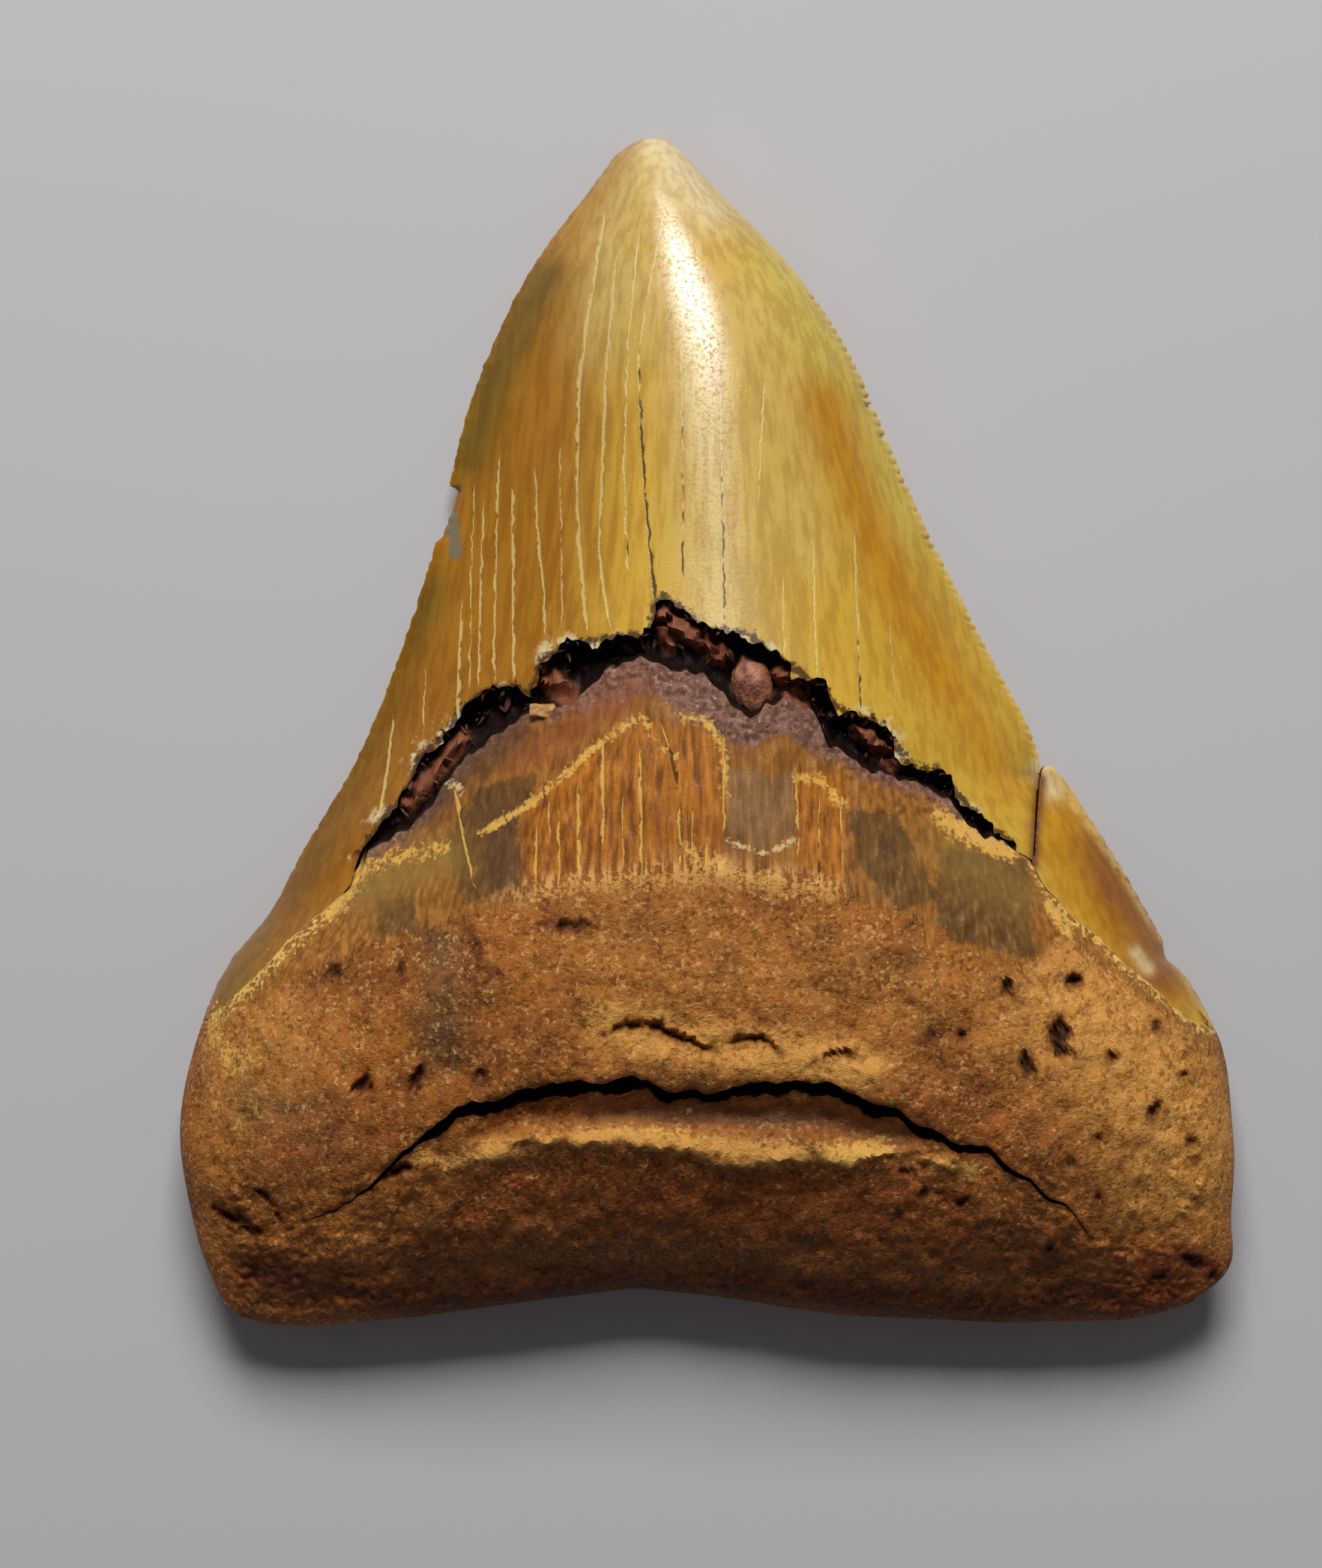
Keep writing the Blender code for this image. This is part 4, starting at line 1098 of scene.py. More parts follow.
    def mark(self, sheets: Sequence[Sheet], face_rows: int) -> None:
        """Marks edges, breaks, stains and hairline cracks on the sheets."""
        upper, lower, labial, side = sheets
        for sheet in sheets:
            left, right = self.form.edges(sheet.y)
            sheet.mark("from_left", sheet.x - left)
            sheet.mark("from_right", right - sheet.x)
            torn = np.zeros(sheet.places.shape[:2])
            if sheet is lower:
                torn[face_rows:] = 1.0
            if sheet is side:
                torn[:, 1:] = 1.0
            sheet.mark("torn", torn)
            lip = path_distance(sheet.x, sheet.y, CROWN_MARGIN)[0]
            seen = sheet is upper or sheet is lower
            sheet.mark("from_lip", np.minimum(lip, LIP_REACH) if seen else LIP_REACH)
            mark_stains_and_light(sheet, ENAMEL_STAINS_AND_SHEEN, float(sheet is not labial))
            mark_hairlines(sheet, ENAMEL_HAIRLINES, float(sheet is not labial))


@dataclass
class ShoulderFragment:
    """The enamel that broke off the right shoulder, standing just clear of the blade."""

    form: ToothForm
    rows: int = 120
    columns: int = 60
    coarse: int = 12
    side_columns: int = 5
    top_y: float = -2.7
    meet_y: float = -9.2
    meet_reach: float = 0.8
    crack_gap: float = 0.06
    tuck: float = 0.5
    bump_height: float = 0.12
    bump_pitch: float = 0.5
    bite_depth: float = 0.6
    bite_y: float = -15.8
    bite_reach: float = 0.8
    least_width: float = 0.1

    def left_limit(self, y: Array) -> Array:
        """X of the lingual face's left side: the crack, then under the root's lip."""
        crack = straight(SHOULDER_CRACK, y) + self.crack_gap
        right_half = [(b, a) for a, b in ENAMEL_BOUNDARY if a > 21] + [RIGHT_CORNER[::-1]]
        border = straight(right_half, y) - self.tuck
        blend = smoothstep(self.meet_y + self.meet_reach, self.meet_y - self.meet_reach, y)
        return crack + (border - crack) * blend

    def labial_left_limit(self, y: Array) -> Array:
        """X of the labial face's left side: the crack, then the labial enamel line."""
        crack = straight(SHOULDER_CRACK, y) + self.crack_gap
        line = straight([(b, a) for a, b in LABIAL_LINE[-2:]], y)
        return np.where(y > LABIAL_LINE[-2][1], crack, line)

    def build(self) -> bpy.types.Object:
        """Makes the closed fragment."""
        end_y = RIGHT_CORNER[1] - 0.1
        y = np.linspace(self.top_y, end_y, self.rows + 1)[:, None]
        right = self.form.edges(y)[1] + self.form.jog(np.ones(y.shape), y, Part.SHOULDER)
        taper = smoothstep(-0.02, 0.10, (self.top_y - y) / (self.top_y - end_y))
        wave = np.clip(np.cos(y / self.bump_pitch * math.pi), 0, 1)
        bump = self.bump_height * wave * smoothstep(-4, -6, y)
        bite = self.bite_depth * hump(y - self.bite_y, self.bite_reach)
        right = right - bump - bite - 0.5 * (1 - taper)
        left, labial_left = (
            np.minimum(limit, right - self.least_width)
            for limit in (self.left_limit(y), self.labial_left_limit(y))
        )
        u = np.linspace(0, 1, self.columns + 1)[None]
        x = left + (right - left) * u
        row_y = y + x * 0
        z = self.form.face(x + bite * u**3, row_y, Part.SHOULDER)
        z += 0.05 * rough(x, row_y, 1.6, 11.0) * u * (1 - u) * 4
        lingual = stack(x, y, z)
        u = np.linspace(0, 1, self.coarse + 1)[None]
        x = labial_left + (right - labial_left) * u
        labial = stack(x, y, self.form.underside(x + bite * u**3, y + x * 0, Part.SHOULDER))
        labial[:, -1] = lingual[:, -1]
        side = bridge(lingual[:, :1], labial[:, :1], self.side_columns)
        top = end_row(labial[0], 0.25, labial[0, -1, 2])
        bottom = end_row(labial[-1], -0.15, labial[-1, -1, 2])
        shut = [snap(row, self.columns + 1)[None] for row in (top, bottom)]
        ends = [np.broadcast_to(row[0], side[:1].shape) for row in (top, bottom)]
        grids = (
            (shut[0], lingual, shut[1]),
            (top[None], labial, bottom[None]),
            (ends[0], side, ends[1]),
        )
        sheets = [Sheet(np.concatenate(grid)) for grid in grids]
        for sheet in sheets:
            sheet.mark("from_left", 30.0)
            sheet.mark("from_right", self.form.edges(sheet.y)[1] - sheet.x)
            sheet.mark("torn", float(sheet is sheets[2]))
            sheet.mark("from_lip", 8.0)
            mark_stains_and_light(sheet, ENAMEL_STAINS_AND_SHEEN, 1.0)
            mark_hairlines(sheet, ENAMEL_HAIRLINES, 0.0)
        return weld("shoulder_enamel", [spread_sheet(sheet) for sheet in sheets], 35)


@dataclass
class RootBody:
    """The root with its bourlette, and the crevice's wall and floor under the crown."""

    form: ToothForm
    coarse: int = 55
    split: int = 8
    floor_rows: int = 14
    rounds: int = 12
    crevice_depth: float = 2.7
    least_depth: float = 0.55
    lip_drops: tuple[float, ...] = (0.15, 0.45, 0.9, 1.6, 2.4)
    lip_steps: tuple[float, ...] = (0.08, 0.15, 0.25, 0.4, 0.6)
    crack_depth: float = 3.6
    crack_powers: tuple[float, float] = (2.2, 1.2)
    least_half: float = 0.06
    film_height: float = 0.14
    ledge_drop: float = 0.5
    base_z: float = 4.4
    crack_x: Array = field(init=False)
    crack_middle: Array = field(init=False)
    crack_top: Array = field(init=False)
    crack_bottom: Array = field(init=False)

    def lip_line(self, count: int) -> tuple[Array, Array]:
        """The root's upper border: the enamel line, the ragged margin, the enamel line."""
        left = [point for point in ENAMEL_BOUNDARY if point[0] < -23]
        right = [point for point in ENAMEL_BOUNDARY if point[0] > 23]
        line = np.array([LEFT_CORNER, *left, *ROOT_MARGIN, (22.0, -8.8), *right, RIGHT_CORNER])
        x = np.linspace(LEFT_CORNER[0], RIGHT_CORNER[0], count)
        ends = smoothstep(0, 2.5, np.minimum(x - x[0], x[-1] - x))
        free = smoothstep(24.0, 22.0, np.abs(x))
        ragged = ripple(x, (0.5, 1.4, 21.0), (0.3, 0.6, 22.0))
        return x, np.interp(x, *line.T) + ends * ragged * (0.45 + 0.55 * free)

    def even_places(self, spread: Array, line: Points) -> Array:
        """X of evenly spread columns along a line that crosses the root from edge to edge."""
        x = spread * BASE_HALF_WIDTH
        for _ in range(self.rounds):
            station = self.form.locate(x, straight(line, x))[1]
            x = self.form.plan(spread, station)[0]
        return x

    def guides(self, count: int) -> list[tuple[int, Array, Array]]:
        """Lines that rows follow, from the base up.

        Args:
            count: How many columns there are.

        Returns:
            For each line the rows up to it from the one before, its columns and its stations.
        """
        spread = np.linspace(-1, 1, count)
        x = self.even_places(spread, CRACK_LINE)
        ragged = ripple(x, (0.6, 2.2, 31.0), (0.14, 0.6, 32.0))
        middle = straight(CRACK_LINE, x) + ragged * smoothstep(30, 26, np.abs(x))
        half = straight(CRACK_HALF_WIDTH, x)
        opened = smoothstep(0.0, 0.3, half)
        upper = half * (0.85 + ripple(x, (0.7, 2.1, 33.0))) * (0.4 + 0.6 * opened)
        lower = half * (0.85 + ripple(x, (1.1, 1.7, 34.0))) * (0.4 + 0.6 * opened)
        lower += 0.2 * opened * ripple(x, (1.0, 0.45, 35.0))
        upper, lower = np.maximum(upper, self.least_half), np.maximum(lower, self.least_half)
        self.crack_x, self.crack_middle = x, middle
        self.crack_top, self.crack_bottom = middle + upper, middle - lower
        fringe_x = self.even_places(spread, FRINGE_GUIDE)
        lip_x, lip_y = self.lip_line(count)
        guides = (
            (46, x, middle - lower - 1.6),
            (8, x, middle - lower),
            (2, x, middle - lower * 0.65),
            (2, x, middle),
            (2, x, middle + upper * 0.65),
            (2, x, middle + upper),
            (7, x, middle + upper + 1.4),
            (40, fringe_x, straight(FRINGE_GUIDE, fringe_x)),
            (32, lip_x, lip_y - 1.5),
            (12, lip_x, lip_y),
        )
        lines = [(0, spread, np.full(count, BASE_MIDDLE_Y))]
        for rows, guide_x, guide_y in guides:
            column, station = self.form.locate(guide_x, guide_y)
            column[[0, -1]] = -1, 1
            lines.append((rows, column, station))
        return lines

    def rows(self, count: int) -> tuple[Array, Array]:
        """Columns and stations of every row, row by row."""
        lines = self.guides(count)
        rows = [np.array(lines[0][1:])]
        for (_, *start), (steps, *end) in zip(lines, lines[1:]):
            for step in range(1, steps + 1):
                t = step / steps
                rows.append(np.array(start) * (1 - t) + np.array(end) * t)
        columns, stations = np.array(rows).swapaxes(0, 1)
        columns[:, 0], columns[:, -1] = -1, 1
        return columns, stations

    def crack_sides(self, x: Array) -> tuple[Array, Array, Array]:
        """Y of the long crack's middle, upper edge and lower edge."""
        sides = (self.crack_middle, self.crack_top, self.crack_bottom)
        middle, top, bottom = (np.interp(x, self.crack_x, side) for side in sides)
        return middle, top, bottom

    def crack_drop(self, x: Array, y: Array) -> Array:
        """How deep the long crack is at each place."""
        middle, top, bottom = self.crack_sides(x)
        side = np.where(y > middle, (y - middle) / (top - middle), (middle - y) / (middle - bottom))
        depth = self.crack_depth * smoothstep(0.05, 0.5, straight(CRACK_HALF_WIDTH, x))
        power = np.where(y > middle, *self.crack_powers)
        return depth * np.clip(1 - np.clip(side, 0, 1) ** power, 0, 1)

    def gap_distance(self, x: Array, y: Array) -> Array:
        """Distance to the nearest crack's or pit's edge; negative inside it."""
        middle, top, bottom = self.crack_sides(x)
        closed = straight(CRACK_HALF_WIDTH, x) < 0.02
        gap = np.where(y > middle, y - top, bottom - y) + 2 * closed
        for fissure in ROOT_FISSURES:
            distance, swell = self.fissure_reach(fissure, x, y)
            gap = np.minimum(gap, distance - fissure.half_width * swell)
        for pit in ROOT_PITS:
            gap = np.minimum(gap, self.pit_reach(pit, x, y))
        return np.clip(gap, -3, 3)

    def fissure_reach(self, fissure: Fissure, x: Array, y: Array) -> tuple[Array, Array]:
        """Distance to a small crack's ragged middle, and how wide it is there, from 0 to 1."""
        distance, along = path_distance(x, y, fissure.path)
        ragged = rubble(x, y, (0.3, 0.7, 49.0), (0.2, 0.3, 50.0))
        return np.maximum(distance + ragged, 0), np.sin(np.pi * np.clip(along, 0.03, 0.97)) ** 0.6

    def under_ledge(self, x: Array, y: Array) -> Array:
        """1 just below the ledge's broken edge, fading out further down."""
        below = straight(LEDGE_LINE, x) - y + 0.9 * rough(x, y, 1.3, 48.0)
        broken = smoothstep(-0.1, 0.5, below) * smoothstep(7.0, 2.0, below)
        return broken * smoothstep(19.0, 15.0, np.abs(x))

    def pit_reach(self, pit: Pit, x: Array, y: Array) -> Array:
        """Distance to a pit's edge; negative inside it."""
        turn = math.radians(pit.turn)
        dx, dy = x - pit.x, y - pit.y
        u = dx * math.cos(turn) + dy * math.sin(turn)
        v = -dx * math.sin(turn) + dy * math.cos(turn)
        ratio = np.hypot(u / pit.across, v / pit.along)
        return (ratio - 1 + rubble(x, y, (0.9, 0.6, 44.0), (0.3, 0.25, 45.0))) * pit.size

    def carve(self, x: Array, y: Array, inner: Array) -> Array:
        """How far cracks, pits and weathering lower the root's face."""
        drop = self.crack_drop(x, y)
        for fissure in ROOT_FISSURES:
            distance, swell = self.fissure_reach(fissure, x, y)
            groove = np.clip(1 - distance / (fissure.half_width * swell + 0.08), 0, 1)
            drop = np.maximum(drop, fissure.depth * swell * groove**0.7)
        for pit in ROOT_PITS:
            bowl = smoothstep(-0.35, 0.8, -self.pit_reach(pit, x, y) / pit.size)
            drop = np.maximum(drop, pit.depth * bowl)
        drop = drop + self.ledge_drop * self.under_ledge(x, y)
        weathered = smoothstep(-28.0, -31.0, y) + smoothstep(30.0, 33.0, np.abs(x))
        for worn in WORN_PLACES:
            weathered = weathered + worn.share(x, y)
        crumbs = 0.22 * rough(x, y, 1.9, 46.0) + 0.36 * np.abs(rough(x, y, 0.7, 47.0)) - 0.1
        grit = rubble(x, y, (0.3, 1.4, 41.0), (0.16, 0.55, 42.0))
        grit = grit * (0.3 + 0.7 * smoothstep(-11.0, -13.0, y)) + crumbs * np.minimum(weathered, 1.5)
        return drop * np.minimum(4 * inner, 1) - grit * inner

    def build(self) -> bpy.types.Object:
        """Makes the closed root."""
        form = self.form
        count = self.coarse * self.split + 1
        columns, stations = self.rows(count)
        x, y = form.plan(columns, stations)
        inner = smoothstep(1.0, 0.9, np.abs(columns)) * smoothstep(BASE_MIDDLE_Y, -37.5, stations)
        z = form.lingual(columns, stations) + form.relief(x, y, columns, Part.ROOT)
        z -= self.carve(x, y, inner)
        above = y - straight(ENAMEL_FRINGE, x) + 0.5 * rough(x, y, 0.8, 43.0)
        z += self.film_height * smoothstep(-0.2, 0.2, above) * inner
        face = stack(x, y, z)
        labial = self.labial_rows(stations)
        base = labial[0].copy()
        base[:, 2] = (base[:, 2] + self.base_z) / 2
        base[:, 1] -= 0.03
        floor = self.floor_rows_under(face[-1], labial[-1])
        grids = ([snap(base, count)[None], face, floor], [base[None], labial])
        sheets = [Sheet(np.concatenate(grid)) for grid in grids]
        self.mark(sheets, len(face) + 1)
        return weld("root", [spread_sheet(sheet) for sheet in sheets], 45)

    def labial_rows(self, stations: Array) -> Array:
        """The labial face up to the labial enamel line, and one row tucked under the enamel."""
        columns = np.linspace(-1, 1, self.coarse + 1)
        u = (columns + 1) / 2
        top = straight(LABIAL_LINE, LEFT_CORNER[0] + (RIGHT_CORNER[0] - LEFT_CORNER[0]) * u)
        sides = (stations[:, 0], stations[:, -1])
        left, right = ((side - BASE_MIDDLE_Y) / (side[-1] - BASE_MIDDLE_Y) for side in sides)
        top[0], top[-1] = sides[0][-1], sides[1][-1]
        station = BASE_MIDDLE_Y + (top - BASE_MIDDLE_Y) * spread_share(left, right, u)
        column = np.broadcast_to(columns, station.shape)
        x, y = self.form.plan(column, station)
        inner = smoothstep(1.0, 0.85, np.abs(column)) * smoothstep(BASE_MIDDLE_Y, -37, station)
        lumps = 0.25 * np.maximum(rough(x, y, 2.5, 51.0), 0) * inner
        rows = stack(x, y, self.form.labial(column, station) + lumps)
        tucked = rows[-1].copy()
        amount = smoothstep(1.0, 0.9, np.abs(columns))
        tucked[:, 1] += 0.7 * amount
        tucked[:, 2] += 0.6 * amount
        return np.concatenate([rows, tucked[None]])

    def floor_rows_under(self, lip: Array, landing: Array) -> Array:
        """Rows down from the root's lip, across the crevice's floor and in under the crown."""
        x, y, z = lip.T
        ends = smoothstep(0.0, 2.0, np.minimum(x - x[0], x[-1] - x))
        wide = smoothstep(24.5, 21.5, np.abs(x))
        rows = []
        for drop, step in zip(self.lip_drops, self.lip_steps):
            torn = 0.3 * rough(x, x * 0 + drop * 2, 0.6, 61.0) * wide
            down = drop * wide + min(drop, 1.3) * (1 - wide)
            rows.append(stack(x, y + (step + torn) * ends, z - down * ends))
        _, start_y, start_z = rows[-1].T
        far = np.maximum(straight(CROWN_MARGIN, x) + 1.6, y + 0.9)
        far = y + 0.9 + (far - y - 0.9) * wide
        edge_share = np.clip(0.35 + (23.0 - np.abs(x)) / 10, 0.3, 1.0)
        for step in range(1, self.floor_rows + 1):
            t = step / self.floor_rows
            row_y = start_y + (far - start_y) * t * ends
            torn = rubble(x, row_y, (1.0, 1.2, 62.0), (0.7, 0.45, 63.0))
            torn += 1.4 * (0.25 - np.abs(rough(x, row_y, 0.8, 64.0)))
            depth = self.crevice_depth * edge_share - torn
            for ridge in TISSUE_RIDGES:
                depth -= ridge.share(x, row_y) * (1 + 1.6 * rough(x, row_y, 0.7, 65.0))
            depth = np.maximum(depth, self.least_depth + 0.3 * rough(x, row_y, 0.5, 66.0))
            floor_z = self.form.face(x, row_y, Part.CROWN) - depth
            level = start_z + (floor_z - start_z) * smoothstep(0, 0.35, np.array(t))
            low = start_z - 0.4 * t
            row_z = low + (level - low) * wide
            rows.append(stack(x, row_y, z + (row_z - z) * ends))
        last = rows[-1].copy()
        last[:, 1] += 0.3 * ends
        last[:, 2] -= 1.0 * ends * wide
        return np.array([*rows, last, snap(landing, len(x))])

    def mark(self, sheets: Sequence[Sheet], lip_row: int) -> None:
        """Marks gaps, depth, panels, stains and hairline cracks on the sheets."""
        lingual, labial = sheets
        depth = np.zeros(lingual.places.shape[:2])
        depth[lip_row:] = smoothstep(24.5, 22.5, np.abs(lingual.x[lip_row:]))
        lingual.mark("torn", depth)
        labial.mark("torn", 0.0)
        for sheet, share in ((lingual, 1.0), (labial, 0.0)):
            x, y = sheet.x, sheet.y
            sheet.mark("gap", self.gap_distance(x, y) if share else 3.0)
            sheet.mark("under_ledge", self.under_ledge(x, y) * share)
            lip = path_distance(x, y, ROOT_MARGIN)[0]
            above = np.clip(y - straight(ENAMEL_FRINGE, x), -FAR, FAR)
            sheet.mark("from_lip", np.minimum(lip, FAR) if share else FAR)
            sheet.mark("above_fringe", above if share else -FAR)
            sheet.mark("enamel_line", self.line_gap(x, y) if share else FAR)
            for name, outlines in PANELS.items():
                inside = np.full(x.shape, -9.0)
                for outline in outlines:
                    inside = np.maximum(inside, patch_depth(x, y, outline))
                sheet.mark(name, inside if share else -9.0)
            mark_stains_and_light(sheet, ROOT_STAINS_AND_PAINTED_LIGHT, share)
            mark_hairlines(sheet, ROOT_HAIRLINES, share)

    def line_gap(self, x: Array, y: Array) -> Array:
        """Distance to the enamel lines on both shoulders."""
        left = [LEFT_CORNER, *(point for point in ENAMEL_BOUNDARY if point[0] < -23)]
        right = [(22.3, -9.2), *(point for point in ENAMEL_BOUNDARY if point[0] > 23), RIGHT_CORNER]
        nearest = np.minimum(path_distance(x, y, left)[0], 1.9 * path_distance(x, y, right)[0])
        return np.minimum(nearest, FAR)


def srgb(red: float, green: float, blue: float) -> Paint:
    """A colour from its 0 to 255 values on a screen."""

    def linear(value: float) -> float:
        """One channel in linear light."""
        share = value / 255
        return share / 12.92 if share <= 0.04045 else ((share + 0.055) / 1.055) ** 2.4

    return linear(red), linear(green), linear(blue), 1.0


def operator(operation: str, swapped: bool = False) -> Callable[[Signal, Value], Signal]:
    """An arithmetic operator of Signal, which adds one math node."""

    def apply(signal: Signal, other: Value) -> Signal:
        """Adds the node and gives its output."""
        first, second = (other, signal) if swapped else (signal, other)
        return signal.graph.math(operation, first, second)

    return apply


@dataclass(frozen=True)
class Signal:
    """A number or a colour in a node tree; arithmetic on it adds nodes."""

    graph: Graph
    socket: Socket

    __add__ = operator("ADD")
    __radd__ = operator("ADD", swapped=True)
    __sub__ = operator("SUBTRACT")
    __rsub__ = operator("SUBTRACT", swapped=True)
    __mul__ = operator("MULTIPLY")
    __truediv__ = operator("DIVIDE")

    def __abs__(self) -> Signal:
        """The number without its sign."""
        return self.graph.math("ABSOLUTE", self)

    def step(self, low: Value, high: Value) -> Signal:
        """0 at low, 1 at high, and a smooth change between them."""
        inputs = {"Value": self, "From Min": low, "From Max": high}
        return self.graph.make("MapRange", inputs, "Result", interpolation_type="SMOOTHSTEP")

    def under(self, share: Value, colour: Fill, kind: str = "MIX") -> Signal:
        """This colour with a share of another one laid over it."""
        return self.graph.blend(share, self, colour, kind)

    def tinted(self, share: Value, colour: Fill) -> Signal:
        """This colour multiplied by another one, by a share."""
        return self.under(share, colour, "MULTIPLY")


class Graph:
    """Adds nodes to one tree and joins them."""

    def __init__(self, tree: bpy.types.NodeTree) -> None:
        """Keeps the tree to add to."""
        self.tree = tree

    def add(self, kind: str, inputs: dict[Union[int, str], object], **settings: object) -> bpy.types.Node:
        """A new node with its settings, and with its inputs set or linked."""
        node = self.tree.nodes.new(f"ShaderNode{kind}")
        for name, value in settings.items():
            setattr(node, name, value)
        self.feed(node, inputs)
        return node

    def feed(self, node: bpy.types.Node, inputs: dict[Union[int, str], object]) -> None:
        """Links each of a node's inputs, or sets its number or colour."""
        for key, value in inputs.items():
            if isinstance(value, Signal):
                self.tree.links.new(value.socket, node.inputs[key])
            else:
                node.inputs[key].default_value = value

    def make(
        self, kind: str, inputs: dict[Union[int, str], object], output: Union[int, str], **settings: object
    ) -> Signal:
        """One output of a new node."""
        return Signal(self, self.add(kind, inputs, **settings).outputs[output])

    def math(self, operation: str, first: Value, second: Value = 0.0, clamp: bool = False) -> Signal:
        """One operation on two numbers."""
        return self.make("Math", {0: first, 1: second}, 0, operation=operation, use_clamp=clamp)

    def blend(self, share: Value, first: Fill, second: Fill, kind: str = "MIX") -> Signal:
        """A colour between two colours."""
        inputs = {0: share, 6: first, 7: second}
        return self.make("Mix", inputs, 2, data_type="RGBA", blend_type=kind)

    def noise(self, place: Signal, scale: Value, detail: float = 3.0, roughness: float = 0.55) -> Signal:
        """Smooth noise about 0.5, with `scale` lumps in a millimetre."""
        inputs = {"Vector": place, "Scale": scale, "Detail": detail, "Roughness": roughness}
        return self.make("TexNoise", inputs, "Fac")

    def mark(self, name: str) -> Signal:
        """A number marked on the mesh."""
        return self.make("Attribute", {}, "Fac", attribute_name=name)

    def place(self, along: float = 1.0) -> Signal:
        """The piece's own coordinates in millimetres, stretched along the tooth."""
        inputs = {"Vector": self.make("TexCoord", {}, "Object"), "Scale": (1 / MM, along / MM, 1 / MM)}
        return self.make("Mapping", inputs, "Vector")

    def ramp(self, value: Value, stops: Sequence[tuple[float, Paint]]) -> Signal:
        """A colour read from a row of stops."""
        node = self.add("ValToRGB", {"Fac": value})
        elements = node.color_ramp.elements
        while len(elements) < len(stops):
            elements.new(0.5)
        for element, (position, colour) in zip(elements, stops):
            element.position = position
            element.color = colour
        return Signal(self, node.outputs["Color"])

    def group(self, tree: bpy.types.NodeTree, **inputs: Value) -> dict[str, Signal]:
        """The outputs of a shared effect, placed with its own values."""
        node = self.add("Group", {}, node_tree=tree)
        self.feed(node, inputs)
        return {socket.name: Signal(self, socket) for socket in node.outputs}

    def finish(
        self, colour: Signal, gloss: Signal, height: Signal, relief: float, **others: Value
    ) -> None:
        """Feeds the shader.

        Args:
            colour: The base colour.
            gloss: The roughness.
            height: The height of the fine relief.
            relief: How strongly that height bends the surface.
            others: More of the shader's inputs, with _ for each space in their names.
        """
        inputs = {"Distance": BUMP_REACH, "Strength": relief, "Height": height}
        normal = self.make("Bump", inputs, "Normal")
        shader = self.tree.nodes["Principled BSDF"]
        self.feed(shader, {"Base Color": colour, "Roughness": gloss, "Normal": normal})
        self.feed(shader, {name.replace("_", " "): value for name, value in others.items()})


def start_material(name: str) -> tuple[bpy.types.Material, Graph]:
    """A new material and the graph that shades it."""
    material = bpy.data.materials.new(name)
    material.use_nodes = True
    return material, Graph(material.node_tree)


def start_group(
    name: str, inputs: Sequence[str], outputs: Sequence[str]
) -> tuple[Graph, dict[str, Signal], bpy.types.Node]:
    """An empty group of nodes; every socket holds a number, except for Place.

    Args:
        name: The group's name.
        inputs: The names of its inputs.
        outputs: The names of its outputs.

    Returns:
        The group's graph, the values that it is given, and the node that its results go to.
    """
    tree = bpy.data.node_groups.new(name, "ShaderNodeTree")
    for way, labels in (("INPUT", inputs), ("OUTPUT", outputs)):
        for label in labels:
            kind = "NodeSocketVector" if label == "Place" else "NodeSocketFloat"
            tree.interface.new_socket(label, in_out=way, socket_type=kind)
    graph = Graph(tree)
    given = tree.nodes.new("NodeGroupInput")
    values = {label: Signal(graph, given.outputs[label]) for label in inputs}
    return graph, values, tree.nodes.new("NodeGroupOutput")


def build_grit() -> bpy.types.NodeTree:
    """Packed grains, each with its own tone, and bright flecks among them."""
    graph, given, out = start_group("grit", ("Place", "Grains"), ("Height", "Tone", "Fleck"))
    place, grains = given["Place"], given["Grains"]
    cells = graph.add("TexVoronoi", {"Vector": place, "Scale": grains})
    tones = graph.add("SeparateColor", {"Color": Signal(graph, cells.outputs["Color"])})
    first, second, third = (Signal(graph, tone) for tone in tones.outputs)
    coarse = graph.noise(place, grains * 0.3, 4.0, 0.7)
    fine = graph.noise(place, grains, 3.0, 0.75)
    height = coarse * 0.5 + fine * 0.7 - Signal(graph, cells.outputs["Distance"]) * 0.1
    fleck = (third * 0.4 + fine).step(0.74, 0.98)
    graph.feed(out, {"Height": height + second * 0.12, "Tone": first, "Fleck": fleck})
    return graph.tree


def build_hairlines() -> bpy.types.NodeTree:
    """Fine cracks from the marked side distance, uneven in width and broken in places."""
    graph, given, out = start_group("hairline_cracks", ("Place", "Width"), ("Pale", "Dark", "Any"))
    place = given["Place"]
    wander = (graph.noise(place, 0.9, 3.0, 0.6) - 0.5) * 0.5
    offset = abs(graph.mark("hairline") + wander)
    uneven = graph.noise(place, 0.9, 2.0, 0.6).step(0.2, 0.6) * graph.mark("hairline_strength")
    flare = graph.mark("from_lip").step(2.5, 0.2) * 0.9 + 1.4
    half = given["Width"] * uneven * flare + 0.001
    line = (offset / half).step(1.0, 0.35) * uneven.step(0.08, 0.4)
    broken = (graph.mark("hairline_dark") + graph.noise(place, 0.8, 1.0)).step(0.85, 1.05)
    graph.feed(out, {"Dark": line * broken, "Pale": line * (1.0 - broken), "Any": line})
    return graph.tree


def build_patch() -> bpy.types.NodeTree:
    """A ragged-edged patch from how far inside its outline a place lies."""
    inputs = ("Place", "Inside", "Ragged", "Soft", "Grains")
    graph, given, out = start_group("ragged_patch", inputs, ("Mask",))
    wobble = graph.noise(given["Place"], given["Grains"], 4.0, 0.65)
    inside = given["Inside"] + (wobble - 0.5) * given["Ragged"] * 2.0
    soft = given["Soft"]
    graph.feed(out, {"Mask": inside.step(soft * -1.0, soft)})
    return graph.tree


@dataclass(frozen=True)
class Effects:
    """Shader effects that more than one material uses, each built once."""

    grit: bpy.types.NodeTree = field(default_factory=build_grit)
    hairlines: bpy.types.NodeTree = field(default_factory=build_hairlines)
    patch: bpy.types.NodeTree = field(default_factory=build_patch)


